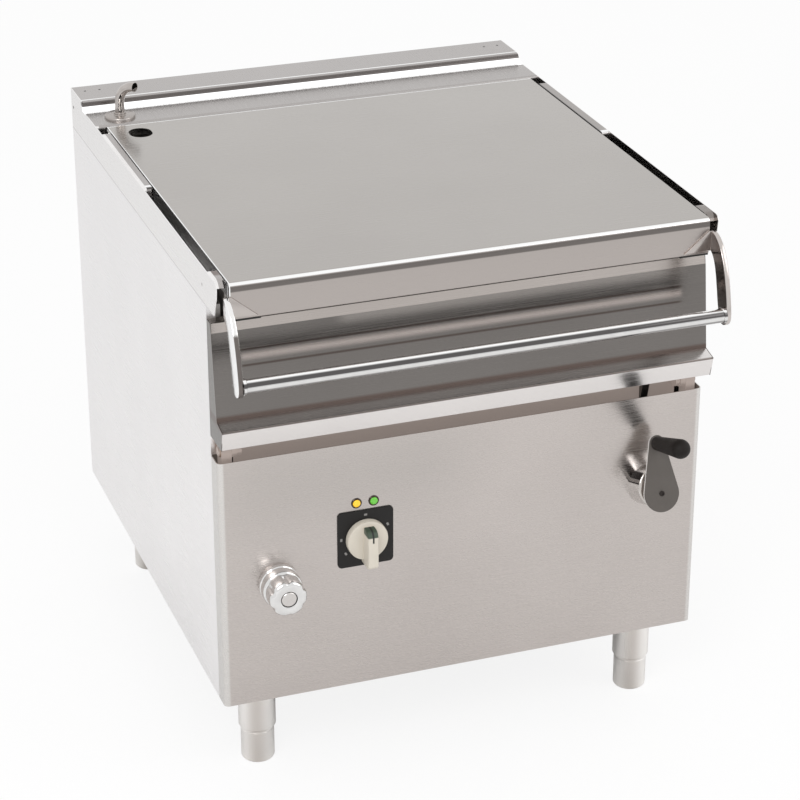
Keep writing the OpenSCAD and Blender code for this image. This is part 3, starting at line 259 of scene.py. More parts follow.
# Worktop and rails: painted reflections dark and light on the rail tops with painted highlight lines, the right rail's
# front end painted darker as painted shade, painted shadow in the gaps beside the lid, pale painted highlights on the
# rails' outer sides and edges, and a painted dark reflection band with painted highlight lines on the upstand. The line
# at z 826 to 830.6 is the rails' foot seam
topPaintedLightAndSeam = [((128, 118, 114), leftRail + [("y", 8, 240, 5)]),
            ((38, 34, 31), leftRail + [("y", 236, 392, 14)]),
            (white, leftRail + [("y", 391, 399, 1.5)]),
            ((160, 155, 152), rightRail + [("y", 395, 694, 2)]),
            (white, rightRail + [("y", 386, 394, 2)]),
            ((140, 134, 130), [("x", 384, 402, 0.4), ("y", -60, 25, 8), ("z", 840, 890, 2)]),
            (shadow, [("x", -386.2, -380, 0.3), ("z", 820, 884.2, 0.4), ("y", -60, 690, 2)]),
            (shadow, [("x", 380, 386.2, 0.3), ("z", 820, 884.2, 0.4), ("y", -60, 690, 2)]),
            ((52, 47, 45), [("x", 383, 386, 0.3), ("z", 884, 890, 0.4), ("y", 60, 690, 4)]),
            (pale, [("x", -402, -393.4, 0.4), ("y", -60, 700, 2)]),
            (pale, [("x", -402, -398.8, 0.2)]),
            (pale, [("x", 398.8, 402, 0.2)]),
            ((200, 197, 196), [("z", 826, 830.6, 0.3)]),
            slopeHighlight,
            ((105, 100, 98), [("y", 780, 797, 0.6), ("z", 891.9, 898.5, 0.4)]),
            (white, [("y", 695.5, 698.5, 0.6), ("z", 885, 890, 0.4)]),
            (white, [("y", 795.6, 799, 0.5), ("z", 898.4, 902, 0.3)])]
betweenArms = ("x", -357, 357, 6)
# Casing face: painted reflection bands, a dark band at its foot, the handle bar's painted reflection between the arms,
# and a lighter band near its top
facePaintedReflections = [((101, 89, 84), [("z", 650, 664, 3)]),
             ((87, 78, 74), [("z", 736.4, 739.6, 1.6), betweenArms]),
             ((182, 172, 167), [("z", 747.5, 757, 5), betweenArms]),
             ((88, 79, 75), [("z", 761, 764, 1.6), betweenArms]),
             ((148, 143, 139), [("z", 782, 800, 8), ("x", -200, 357, 16)])]
# Control panel: painted shade over its lower left, and painted highlights on its rounded corners
panelShadeAndHighlights = [((184, 178, 174), [("x", -390, 0, 90), ("z", 470, 600, 60)]),
              (cornerHighlight, [("x", -402, -391, 2)]),
              (cornerHighlight, [("x", 391, 402, 2)])]
# Handle bar: a painted highlight along its top, a painted dark reflection band below it and a mid grey painted
# reflection band lower down
barPaintedReflections = [(white, [("z", 759, 762, 0.6)]),
            ((92, 90, 90), [("z", 752.6, 758.4, 0.8)]),
            ((150, 148, 147), [("z", 742, 746, 0.8)])]
# Handle arms: painted reflections, the left arm's edges painted dark with a painted highlight on its outer face, the
# right arm's edges lighter and its inner face darker, and the root tabs a little darker
armPaintedReflections = [((112, 106, 103), [("x", -391.5, -384.5, 0.2), ("z", 700, 826, 3)]),
            (white, [("x", -394, -391.5, 0.2)]),
            ((196, 189, 185), [("x", 384.5, 391.5, 0.2)]),
            ((126, 118, 114), [("x", 383, 384.5, 0.2)]),
            ((184, 177, 173), [("y", -34.5, 0, 0.6)])]
# Crank boss: painted reflection bands round it, dark and mid grey, and a lighter painted band at its front rim
bossPaintedReflections = [((40, 37, 36), [("up", crankUp(24), crankUp(35), 1.2)]),
             ((150, 146, 143), [("up", crankUp(20), crankUp(24), 0.8)]),
             ((52, 48, 46), [("up", crankUp(17.5), crankUp(20), 0.6)]),
             ((194, 188, 183), [("out", crankOut(44.4), crankOut(50), 0.5)])]
# Crank lever: its sides are painted light, a painted highlight
leverSideHighlight = [((212, 209, 206), [("out", crankOut(50), crankOut(57.3), 0.2)])]
# Legs: a darker painted reflection band down each leg, set across the line of sight
legPaintedReflections = [((205, 199, 194), [("across", c - 13, c + 13, 12)]) for c in (-332.7, 283.9, -562.5, 54.7)]
knobZones = [((62, 76, 62), [("z", 437, 470, 1.0), ("y", -60, -19.2, 0.4), ("x", -176, -158, 0.2)]),
             ((20, 22, 20), [("x", -168.4, -165.6, 0.3), ("z", 428, 470, 1.0), ("y", -60, -19, 0.3)])]
# Drip strip: a painted dark line along the top of its nose, painted shade
dripNoseShade = [((120, 112, 108), [("z", 648.6, 651.2, 0.6), ("y", -60, -29, 1)])]
# Recess under the pan's drip strip: painted a lighter brown grey that also glows, painted light in place of its shade
recessPaintedGlow = ((136, 125, 119), [("y", 0, 62, 2), ("z", 540, 668, 6)])

# The stainless sheets, tubes and chrome are one metal given a lighter or darker tone for each part as painted
# reflection and shade, such as the dark casing and the bright side panel
finish = {
    "lid": brushedSteel("lidSteel", (178, 174, 170), "X", 0.22, 2, zones=lidPaintedLight),
    "panel": brushedSteel("panelSteel", (192, 185, 181), "X", 0.26, 3, zones=panelShadeAndHighlights),
    "band": brushedSteel("bandSteel", (180, 173, 168), "X", 0.22, 3),
    "side": brushedSteel("sideSteel", (244, 242, 242), "Y", 0.3, 2),
    "rail": brushedSteel("railSteel", (206, 202, 199), "Y", 0.22, 3),
    "top": brushedSteel("topSteel", (175, 171, 169), "Y", 0.25, 2, zones=topPaintedLightAndSeam, lift=0.5, lit=[slopeHighlight]),
    "casing": brushedSteel("casingSteel", (120, 116, 113), "X", 0.24, 3, zones=facePaintedReflections),
    "drip": brushedSteel("dripSteel", (222, 218, 216), "X", 0.2, 3, zones=dripNoseShade),
    "inside": brushedSteel("insideSteel", (158, 153, 149), "X", 0.4, 6, metallic=0.6, zones=[recessPaintedGlow],
                           lift=0.8, lit=[recessPaintedGlow]),
    "leg": brushedSteel("legSteel", (243, 240, 237), "Z", 0.32, 3, zones=legPaintedReflections),
    "plate": brushedSteel("frameSteel", (150, 147, 144), "Y", 0.4, 8),
    "bright": polished("brightSteel", (215, 213, 210), 0.14),
    "arm": polished("armSteel", (246, 245, 244), 0.16, zones=armPaintedReflections),
    "bar": polished("barChrome", (222, 221, 220), 0.1, zones=barPaintedReflections),
    "boss": polished("bossChrome", (236, 235, 234), 0.1, zones=bossPaintedReflections),
    "chrome": polished("chromePlate", (226, 225, 224), 0.05),
    "spout": polished("spoutChrome", (190, 184, 180), 0.08),
    "screw": brushedSteel("screwSteel", (62, 58, 56), "X", 0.4, 8),
    "hollow": moulded("paintedMouthShade", (10, 9, 8), 0.9, 1500.0, 0.05, 2, shine=0.0),
    "disc": polished("discSteel", (178, 172, 168), 0.28),
    "machined": brushedSteel("machinedSteel", (110, 107, 104), "X", 0.38, 12),
    "copper": brushedSteel("copperTube", (196, 118, 78), "Y", 0.3, 10),
    "bronze": brushedSteel("bronzeBush", (176, 132, 72), "X", 0.35, 8),
    "cast": moulded("castGrey", (88, 90, 92), 0.55, 900.0, 0.5, 8),
    "lever": moulded("leverPaint", (88, 83, 79), 0.55, 2200.0, 0.12, 4, zones=leverSideHighlight, shine=0.3),
    "black": moulded("blackPlastic", (22, 20, 19), 0.55, 1500.0, 0.15, 4, shine=0.3),
    "rubber": moulded("blackRubber", (26, 25, 24), 0.7, 900.0, 0.3, 4),
    "grip": moulded("gripPlastic", (26, 22, 20), 0.55, 1300.0, 0.2, 4, shine=0.18),
    "box": moulded("boxPlastic", (126, 128, 130), 0.5, 1500.0, 0.15, 6),
    "ivory": moulded("ivoryPlastic", (204, 197, 184), 0.4, 1500.0, 0.08, 5, zones=knobZones),
    "mark": moulded("markInk", (128, 126, 124), 0.5, 1500.0, 0.05, 4),
    "ring": polished("ringMetal", (74, 66, 61), 0.2),
    "groove": polished("grooveMetal", (40, 38, 37), 0.3),
    "amber": lampGlass("amberLens", (250, 196, 30), 0.12),
    "green": lampGlass("greenLens", (88, 178, 44), 0.12),
    "wool": woolBoard("mineralWool", (206, 190, 142)),
}
print("materials made:", len(finish))


# Mesh helpers: a shape is a list of points and a list of faces
def newShape():
    return {"points": [], "faces": []}


def addLathe(shape, profile, place, count=96):
    rings = []
    for r, h in profile:
        if r < 1e-6:
            rings.append([len(shape["points"])])
            shape["points"].append(place @ Vector((0, 0, h / 1000)))
            continue
        ring = []
        for k in range(count):
            a = 2 * math.pi * k / count
            ring.append(len(shape["points"]))
            shape["points"].append(place @ Vector((r / 1000 * math.cos(a), r / 1000 * math.sin(a), h / 1000)))
        rings.append(ring)
    for low, high in zip(rings, rings[1:]):
        for k in range(count):
            n = (k + 1) % count
            if len(low) == 1:
                shape["faces"].append((low[0], high[n], high[k]))
            elif len(high) == 1:
                shape["faces"].append((low[k], low[n], high[0]))
            else:
                shape["faces"].append((low[k], low[n], high[n], high[k]))


def rounded(points, radius, count=8):
    # a line of (a, b) points whose inner corners are rounded
    done = [Vector(points[0])]
    for i in range(1, len(points) - 1):
        r = radius[i] if isinstance(radius, (list, tuple)) else radius
        corner = Vector(points[i])
        back, ahead = Vector(points[i - 1]) - corner, Vector(points[i + 1]) - corner
        angle = back.angle(ahead)
        if r <= 0 or angle > math.radians(178):
            done.append(corner)
            continue
        reach = min(r / math.tan(angle / 2), back.length * 0.49, ahead.length * 0.49)
        r = reach * math.tan(angle / 2)
        first, last = corner + back.normalized() * reach, corner + ahead.normalized() * reach
        centre = corner + (back.normalized() + ahead.normalized()).normalized() * (r / math.sin(angle / 2))
        u, v = first - centre, last - centre
        sweep = u.angle(v)
        for k in range(count + 1):
            t = k / count
            done.append(centre + (u * math.sin((1 - t) * sweep) + v * math.sin(t * sweep)) / math.sin(sweep))
    done.append(Vector(points[-1]))
    return done


# A sheet of even thickness, bent along a line of (y, z) points and running in x from low to high,
# or upright: bent along (x, y) points and running in z
def addSheet(shape, line, thick, low, high, upright=False):
    sides = []
    for i, p in enumerate(line):
        before = (line[i] - line[i - 1]).normalized() if i else (line[1] - line[0]).normalized()
        after = (line[i + 1] - line[i]).normalized() if i < len(line) - 1 else before
        way = (before + after).normalized()
        square = Vector((-way.y, way.x)) * (thick / 2 / max(0.4, way.dot(before)))
        sides += [p + square, p - square]
    base, n = len(shape["points"]), len(sides)
    for end in (low, high):
        shape["points"] += [at(p.x, p.y, end) if upright else at(end, p.x, p.y) for p in sides]
    for a in range(base, base + n - 2, 2):
        b, c, d = a + 1, a + 2, a + 3
        shape["faces"] += [(a, c, c + n, a + n), (b, b + n, d + n, d), (a, b, d, c), (a + n, c + n, d + n, b + n)]
    last = base + n - 2
    shape["faces"] += [(base, base + n, base + n + 1, base + 1), (last, last + 1, last + 1 + n, last + n)]


def insetLine(outline, depth):
    area = sum(a.x * b.y - b.x * a.y for a, b in zip(outline, outline[1:] + outline[:1]))
    side = 1 if area > 0 else -1
    done = []
    for i, p in enumerate(outline):
        before = (p - outline[i - 1]).normalized()
        after = (outline[(i + 1) % len(outline)] - p).normalized()
        way = (before + after).normalized()
        done.append(p + Vector((-way.y, way.x)) * (side * depth / max(0.35, way.dot(before))))
    return done


def addStack(shape, count, levels, base=0):
    # faces between rings of points, one ring for each level, and a face at both ends
    for low in range(base, base + (levels - 1) * count, count):
        for i in range(count):
            j = (i + 1) % count
            shape["faces"].append((low + i, low + j, low + count + j, low + count + i))
    shape["faces"].append(tuple(base + i for i in reversed(range(count))))
    shape["faces"].append(tuple(base + (levels - 1) * count + i for i in range(count)))


def addPlate(shape, outline, place, z0, z1, edge=1.0, steps=2):
    # a flat plate with rounded edges: outline in the local (x, y) plane, from z0 to z1
    outline = [Vector(p) for p in outline]
    levels = []
    for k in range(steps + 1):
        a = math.pi / 2 * k / steps
        levels.append((edge * (1 - math.sin(a)), z0 + edge * (1 - math.cos(a))))
    levels += [(inset, z0 + z1 - z) for inset, z in reversed(levels)]
    base, n = len(shape["points"]), len(outline)
    for inset, z in levels:
        for p in (insetLine(outline, inset) if inset > 1e-6 else outline):
            shape["points"].append(place @ Vector((p.x / 1000, p.y / 1000, z / 1000)))
    addStack(shape, n, len(levels), base)


def meshOf(name, shape, merge=0.0):
    mesh = bpy.data.meshes.new(name)
    mesh.from_pydata([tuple(p) for p in shape["points"]], [], shape["faces"])
    work = bmesh.new()
    work.from_mesh(mesh)
    if merge:
        bmesh.ops.remove_doubles(work, verts=work.verts, dist=merge)
    bmesh.ops.recalc_face_normals(work, faces=work.faces)
    work.to_mesh(mesh)
    work.free()
    return mesh


def keepResult(piece):
    # what the modifiers make becomes the piece's own mesh
    seen = bpy.context.evaluated_depsgraph_get()
    result = bpy.data.meshes.new_from_object(piece.evaluated_get(seen))
    piece.modifiers.clear()
    piece.data = result
    return result


def handOver(piece, body, replaced, sharp):
    piece.data.shade_smooth()
    piece.data.set_sharp_from_angle(angle=math.radians(sharp))
    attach(piece, body)
    if replaced:
        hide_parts(*replaced)


def finishPiece(name, shape, body, material, replaced=(), sharp=32, cutters=()):
    piece = placed(name, meshOf(name, shape, 1e-6))
    piece.data.materials.append(material)
    if cutters:
        cutOut(piece, cutters).name = name
    handOver(piece, body, replaced, sharp)


def cutOut(piece, cutters):
    # holes are cut with shapes that are thrown away afterwards
    tools = []
    for cutter in cutters:
        tools.append(placed("cutter", meshOf("cutter", cutter)))
        cut = piece.modifiers.new("cut", "BOOLEAN")
        cut.operation = "DIFFERENCE"
        cut.solver = "EXACT"
        cut.object = tools[-1]
    result = keepResult(piece)
    for tool in tools:
        bpy.data.objects.remove(tool)
    return result


def facing(x, y, z):
    # a place on the panel whose local Z points out to the front
    return Matrix.Translation(at(x, y, z)) @ Matrix.Rotation(math.pi / 2, 4, "X")


def sideways(x, y, z):
    # local x is Y, local y is Z and local z is X
    return Matrix.Translation(at(x, y, z)) @ Matrix(((0, 0, 1, 0), (1, 0, 0, 0), (0, 1, 0, 0), (0, 0, 0, 1)))


def upright(x, y, z):
    return Matrix.Translation(at(x, y, z))


def arcLine(cx, cy, r, a0, a1, count=10):
    return [(cx + r * math.cos(math.radians(a0 + (a1 - a0) * k / count)),
             cy + r * math.sin(math.radians(a0 + (a1 - a0) * k / count))) for k in range(count + 1)]


def roundRect(w, h, r, count=6):
    line = []
    x, y = w / 2 - r, h / 2 - r
    for cx, cy, a in ((x, y, 0), (-x, y, 90), (-x, -y, 180), (x, -y, 270)):
        line += arcLine(cx, cy, r, a, a + 90, count)
    return line


# Lid: top, rounded front edge, front flange with its return, and side flanges
lid = {"half": 382, "front": -31, "rear": 688, "top": 886, "flangeFoot": 829, "sheet": 1.5, "edge": 7,
       "sideFoot": 862, "hole": (-336, 643, 38, 46), "gapPad": (335, 382, 3)}


def makeLid():
    t, top, front = lid["sheet"], lid["top"], lid["front"]
    shape = newShape()
    line = rounded([(front + 14, lid["flangeFoot"] + t / 2), (front + t / 2, lid["flangeFoot"] + t / 2),
                    (front + t / 2, top - t / 2), (lid["rear"], top - t / 2)], [0, 0.8, lid["edge"], 0], 12)
    addSheet(shape, line, t, -lid["half"], lid["half"])
    hole = newShape()
    x, y, wide, deep = lid["hole"]
    addPlate(hole, roundRect(wide, deep, wide / 2 - 0.01, 16), upright(x, y, top), -6, 6, 0.01, 1)
    finishPiece("lidTop", shape, "lid", finish["lid"], ["lid_panel"], 25, [hole])
    sides = newShape()
    for s in (-1, 1):
        edge = [(front + 9, lid["sideFoot"]), (lid["rear"], lid["sideFoot"]),
                (lid["rear"], top - 1.2), (front + 9, top - 1.2)]
        addPlate(sides, edge, sideways(s * (lid["half"] - t / 2), 0, 0), -t / 2 + 0.1, t / 2 - 0.1, 0.3, 1)
    finishPiece("lidSides", sides, "lid", finish["lid"])
    # Dark pads under the ends of the front flange: painted shade for the dark gap there
    gapPads = newShape()
    inner, outer, high = lid["gapPad"]
    for s in (-1, 1):
        foot = lid["flangeFoot"]
        pad = [(s * inner, foot - high), (s * outer, foot - high), (s * outer, foot), (s * inner, foot)]
        addPlate(gapPads, pad, facing(0, front + 8, 0), 0, 7, 0.5, 2)
    finishPiece("lidGapShadePads", gapPads, "lid", finish["rubber"])


makeLid()


# Handle: a round bar between two curved flat arms
handle = {"barY": -92, "barZ": 750, "barR": 11, "collar": 5, "armIn": 384, "armT": 8, "armW": 28, "tab": 44,
          "rootY": -31, "rootTop": 866, "rootFoot": 834}


def cubic(a, b, c, d, count=18):
    a, b, c, d = Vector(a), Vector(b), Vector(c), Vector(d)
    return [a * (1 - t) ** 3 + b * 3 * (1 - t) ** 2 * t + c * 3 * (1 - t) * t * t + d * t ** 3
            for t in (k / count for k in range(count + 1))]


def armLine():
    y, z, w = handle["barY"], handle["barZ"], handle["armW"]
    root, top, foot = handle["rootY"], handle["rootTop"], handle["rootFoot"]
    line = cubic((root, top), (root - 35, top), (y + 4, 824), (y - 8, z + 4))
    line += [Vector(p) for p in arcLine(y + w / 2 - 6, z - 3, w / 2 + 2, 184, 346, 14)]
    line += cubic((y + w - 4, z + 3), (y + w + 5, z + 26), (root - 24, foot - 6), (root, foot))
    return line


def makeHandle():
    arms = newShape()
    top, foot = handle["rootTop"], handle["rootFoot"]
    for s in (-1, 1):
        middle = s * (handle["armIn"] + handle["armT"] / 2)
        addPlate(arms, armLine(), sideways(middle, 0, 0), -handle["armT"] / 2, handle["armT"] / 2, 1.6, 3)
        inner, outer = handle["armIn"] - handle["tab"], handle["armIn"] + 1
        tab = [(s * outer, foot), (s * outer, top), (s * (handle["armIn"] - 4), top), (s * inner, foot - 1)]
        addPlate(arms, tab, facing(0, handle["rootY"], 0), 0.05, 3, 0.6, 2)
    finishPiece("handleArms", arms, "lid", finish["arm"], ["handle_arms"], 30)
    bar = newShape()
    end, r, c = handle["armIn"], handle["barR"], handle["collar"]
    profile = [(0, -end), (r + 1, -end), (r + 1.5, -end + 0.6), (r + 1.5, -end + c - 0.6),
               (r + 1, -end + c), (r, -end + c + 0.3)]
    profile += [(a, -h) for a, h in reversed(profile)]
    addLathe(bar, profile, sideways(0, handle["barY"], handle["barZ"]), 96)
    finishPiece("handleBar", bar, "lid", finish["bar"], ["handle_bar"], 25)


makeHandle()
print("lid and handle made")


# Front casing of the pan, one fold from the drip strip's foot up to the top band
casing = {"half": 400, "sheet": 1.5, "foot": (-25, 618), "nose": (-33, 651), "step": (-6, 657),
          "bandFoot": (11, 793), "bandTop": (15, 809), "back": 33, "cheekBack": 31, "gap": 0.2}


def makeCasing():
    t, half = casing["sheet"], casing["half"]
    side = half - casing["gap"]
    drip = newShape()
    fy, fz = casing["foot"]
    ny, nz = casing["nose"]
    sy, sz = casing["step"]
    fold = rounded([(fy + 6, fz + t / 2), (fy + t / 2, fz + t / 2), (ny + t / 2, nz - t / 2), (sy + t / 2, sz - t / 2)],
                   [0, 1.2, 2.0, 0], 6)
    addSheet(drip, fold, t, -side, side)
    finishPiece("dripStrip", drip, "pan", finish["drip"], ["pan_casing"], 25)
    face = newShape()
    by, bz = casing["bandFoot"]
    ty, tz = casing["bandTop"]
    addSheet(face, rounded([(sy + t / 2 - 0.2, sz - t / 2), (by + t / 2, bz)], 0), t, -side, side)
    finishPiece("casingFace", face, "pan", finish["casing"])
    band = newShape()
    fold = rounded([(by + t / 2, bz), (ty + t / 2, tz - t / 2), (casing["back"], tz - t / 2)], [0, 2.0, 0], 6)
    addSheet(band, fold, t, -side, side)
    finishPiece("casingBand", band, "pan", finish["band"])
    cheeks = newShape()
    outline = [casing["foot"], casing["nose"], casing["step"], casing["bandFoot"], casing["bandTop"],
               (casing["cheekBack"], tz), (casing["cheekBack"], fz)]
    for s in (-1, 1):
        addPlate(cheeks, outline, sideways(s * (half - t / 2), 0, 0), -t / 2, t / 2, 0.3, 1)
    finishPiece("casingCheeks", cheeks, "pan", finish["casing"])


makeCasing()


# Wrap-round control panel with rounded upright corners
panel = {"half": 400, "wrap": 31.8, "corner": 8, "foot": 160, "top": 584, "sheet": 1.5}


def makePanel():
    t, half, wrap = panel["sheet"], panel["half"], panel["wrap"]
    line = rounded([(-half + t / 2, wrap), (-half + t / 2, t / 2), (half - t / 2, t / 2), (half - t / 2, wrap)],
                   [0, panel["corner"] - t / 2, panel["corner"] - t / 2, 0], 14)
    shape = newShape()
    addSheet(shape, line, t, panel["foot"], panel["top"], True)
    finishPiece("controlPanel", shape, "cabinet", finish["panel"], ["control_panel"], 25)


makePanel()
print("casing and panel made")


# Crank: boss, lever, screw and grip on a shaft that leans up
crank = {"bossR": 33.5, "bossL": 46, "bossUp": 9.5, "leverOut": 58, "leverT": 5, "leverL": 81, "bigR": 30,
         "smallR": 13, "gripL": 88, "gripRoot": 11, "gripEnd": 15.5}


def makeCrank():
    place = facing(shaft["x"], 0, shaft["z"]) @ Matrix.Rotation(-lean, 4, "X")
    boss = newShape()
    r, front = crank["bossR"], crank["bossL"]
    profile = [(0, -20), (r, -20), (r, front - 3), (r - 0.5, front - 1.6), (r - 1.4, front - 0.6),
               (r - 3, front), (0, front)]
    addLathe(boss, profile, place @ Matrix.Translation((0, crank["bossUp"] / 1000, 0)), 128)
    behind = newShape()
    addPlate(behind, [(-90, -90), (90, -90), (90, 90), (-90, 90)], facing(shaft["x"], 0, shaft["z"]), -80, 0, 0.01, 1)
    finishPiece("crankBoss", boss, "cabinet", finish["boss"], ["crank_boss"], 30, [behind])
    lever = newShape()
    big, small, far = crank["bigR"], crank["smallR"], crank["leverL"]
    slant = math.degrees(math.asin((big - small) / far))
    outline = arcLine(0, 0, big, 180 - slant, 360 + slant, 48) + arcLine(0, far, small, slant, 180 - slant, 24)
    addPlate(lever, outline, place, crank["leverOut"] - crank["leverT"], crank["leverOut"], 0.7, 2)
    finishPiece("crankLever", lever, "crank", finish["lever"], ["crank_lever"], 25)
    screw = newShape()
    top = crank["leverOut"]
    rise = [(0, -0.2), (4.4, -0.2), (4.4, 0.8), (3.9, 1.3), (2.4, 1.4), (2.2, 0.3), (0, 0.2)]
    addLathe(screw, [(a, top + h) for a, h in rise], place, 40)
    finishPiece("crankScrew", screw, "crank", finish["screw"], ["crank_screw"], 30)
    grip = newShape()
    root, end, length = crank["gripRoot"], crank["gripEnd"], crank["gripL"]
    profile = [(0, 0.8), (root - 2, 0.8), (root - 0.6, 1.3), (root, 2.8)]
    profile += [(root + (end - root) * k / 6, 2.8 + (length - 2.8) * k / 6) for k in range(1, 6)]
    profile += arcLine(0, length, end, 0, 81, 9) + [(0, length + end)]
    addLathe(grip, profile, place @ Matrix.Translation((0, far / 1000, top / 1000)), 72)
    finishPiece("crankGrip", grip, "grip", finish["grip"], ["crank_grip"], 40)


makeCrank()


# Selector: plate, marks and the knob with its grip bar
selector = {"x": -167, "z": 420, "plateW": 91, "plateH": 96, "plateT": 2.4, "corner": 7, "knobR": 33, "skirt": 15,
            "barW": 17, "depth": 40}


def makeSelector():
    place = facing(selector["x"], 0, selector["z"])
    plate = newShape()
    outline = roundRect(selector["plateW"], selector["plateH"], selector["corner"])
    addPlate(plate, outline, place, 0, selector["plateT"], 0.7, 2)
    finishPiece("dialPlate", plate, "cabinet", finish["black"], ["dial_plate"], 30)
    knob = newShape()
    r, face, skirt = selector["knobR"], selector["plateT"] + 0.3, selector["skirt"]
    profile = [(0, face), (r - 1, face), (r, face + 1), (r, skirt - 2.2), (r - 0.6, skirt - 0.8),
               (r - 2.2, skirt), (0, skirt)]
    addLathe(knob, profile, place, 96)
    deep = selector["depth"]
    bar = [(-r - 6, face + 3)] + arcLine(-r + 2, deep - 8, 8, 170, 90, 8) + arcLine(r - 18, deep - 12, 12, 90, 0, 9)
    turned = [(-z, y) for y, z in bar + [(r - 6, face + 3)]]
    wide = selector["barW"] / 2
    addPlate(knob, turned, sideways(selector["x"], 0, selector["z"]), -wide, wide, 2.2, 3)
    finishPiece("selectorKnob", knob, "selector", finish["ivory"], ["selector_knob"], 30)


makeSelector()


# Marks round the selector, set out by a node tree: one bar at each angle
marks = {"angles": (90, 26, 177, 215), "radius": 40.0, "long": 3.4, "wide": 5.0}


def nodeTree(name, labels):
    tree = bpy.data.node_groups.new(name, "GeometryNodeTree")
    names = {}
    tree.interface.new_socket(name="Geometry", in_out="INPUT", socket_type="NodeSocketGeometry")
    for label in labels:
        socket = tree.interface.new_socket(name=label, in_out="INPUT", socket_type="NodeSocketFloat")
        names[label] = socket.identifier
    tree.interface.new_socket(name="Geometry", in_out="OUTPUT", socket_type="NodeSocketGeometry")
    return tree, names


def closeTree(tree, geometry, material):
    solid = addNode(tree, "GeometryNodeRealizeInstances", {"Geometry": geometry})
    paint = addNode(tree, "GeometryNodeSetMaterial", {"Geometry": solid.outputs["Geometry"], "Material": material})
    addNode(tree, "NodeGroupOutput", {"Geometry": paint.outputs["Geometry"]})


def grown(name, mesh, tree, names, values):
    piece = placed(name, mesh)
    grow = piece.modifiers.new("grow", "NODES")
    grow.node_group = tree
    for label, value in values.items():
        grow[names[label]] = value
    keepResult(piece)
    return piece


# Every point of the base mesh gets one small part, which a node tree turns by the point's own angle
def partTree(name, partKind, material):
    tree, names = nodeTree(name, ("Length", "Width", "Height"))
    given = addNode(tree, "NodeGroupInput").outputs
    if partKind == "bar":
        size = addNode(tree, "ShaderNodeCombineXYZ", {"X": given["Width"], "Y": given["Length"], "Z": given["Height"]})
        part = addNode(tree, "GeometryNodeMeshCube", {"Size": size.outputs["Vector"]}).outputs["Mesh"]
    else:
        body = addNode(tree, "GeometryNodeMeshCylinder", {"Vertices": 24, "Radius": given["Width"],
                                                          "Depth": given["Height"]})
        dome = addNode(tree, "GeometryNodeMeshUVSphere", {"Segments": 24, "Rings": 10, "Radius": given["Width"]})
        lift = addNode(tree, "ShaderNodeCombineXYZ", {"Z": addMath(tree, "MULTIPLY", given["Height"], 0.5)})
        flat = addNode(tree, "GeometryNodeTransform", {"Geometry": dome.outputs["Mesh"], "Scale": (0.97, 0.97, 0.45),
                                                       "Translation": lift.outputs["Vector"]})
        both = addNode(tree, "GeometryNodeJoinGeometry", {"Geometry": flat.outputs["Geometry"]})
        tree.links.new(body.outputs["Mesh"], both.inputs["Geometry"])
        part = both.outputs["Geometry"]
    way = addNode(tree, "GeometryNodeInputNamedAttribute", {"Name": "turn"}, data_type="FLOAT_VECTOR")
    scatter = addNode(tree, "GeometryNodeInstanceOnPoints", {"Points": given["Geometry"], "Instance": part,
                                                             "Rotation": way.outputs["Attribute"]})
    closeTree(tree, scatter.outputs["Instances"], material)
    return tree, names


def placeParts(name, tree, names, values, spots, body, replaced=()):
    mesh = bpy.data.meshes.new(name)
    mesh.from_pydata([tuple(p) for p, turn in spots], [], [])
    turnLayer = mesh.attributes.new("turn", "FLOAT_VECTOR", "POINT")
    for i, (p, turn) in enumerate(spots):
        turnLayer.data[i].vector = turn
    handOver(grown(name, mesh, tree, names, values), body, replaced, 35)


def makeMarks():
    tree, names = partTree("dialMarks", "bar", finish["mark"])
    spots = []
    for angle in marks["angles"]:
        a = math.radians(angle)
        x, z = marks["radius"] * math.cos(a), marks["radius"] * math.sin(a)
        turn = (math.pi / 2, math.pi / 2 - a, 0)
        spots.append((at(selector["x"] + x, -selector["plateT"] - 0.1, selector["z"] + z), turn))
    sizes = {"Length": marks["long"] / 1000, "Width": marks["wide"] / 1000, "Height": 0.0004}
    placeParts("dialMarks", tree, names, sizes, spots, "cabinet")


makeMarks()


# Domed screws that hold the rear panel, one for each point
screws = {"x": 392, "y": 870, "heights": (220, 490, 769), "radius": 4.0, "head": 1.6}


def makeScrews():
    tree, names = partTree("rearScrews", "screw", finish["bright"])
    y, turn = screws["y"] + screws["head"] / 2, (-math.pi / 2, 0, 0)
    spots = [(at(s * screws["x"], y, z), turn) for s in (-1, 1) for z in screws["heights"]]
    sizes = {"Width": screws["radius"] / 1000, "Height": screws["head"] / 1000}
    placeParts("rearScrews", tree, names, sizes, spots, "cabinet", ["panel_screws"])


makeScrews()


# Indicator lamps
lamps = {"z": 481, "amber": -181, "green": -153, "rimR": 8.5, "rimT": 1.6, "lensR": 6.2, "bulge": 2.6}


def makeLamps():
    rims = newShape()
    r, t, lens = lamps["rimR"], lamps["rimT"], lamps["lensR"]
    for x in (lamps["amber"], lamps["green"]):
        profile = [(lens - 0.6, 0.0), (r - 0.3, 0), (r, 0.3), (r, t - 0.6), (r - 0.7, t), (lens + 0.1, t),
                   (lens - 0.6, t - 0.5), (lens - 0.6, 0.0)]
        addLathe(rims, profile, facing(x, 0, lamps["z"]), 48)
    finishPiece("lampRims", rims, "cabinet", finish["ring"], ["lamp_rims"], 40)
    for colour in ("amber", "green"):
        dome = newShape()
        bulge = [(lens * c, t + lamps["bulge"] * s) for c, s in arcLine(0, 0, 1, 10, 80, 7)]
        profile = [(0, 0.2), (lens, 0.2), (lens, t)] + bulge + [(0, t + lamps["bulge"])]
        addLathe(dome, profile, facing(lamps[colour], 0, lamps["z"]), 48)
        finishPiece(colour + "Lens", dome, "cabinet", finish[colour], ["lamp_" + colour], 40)


makeLamps()


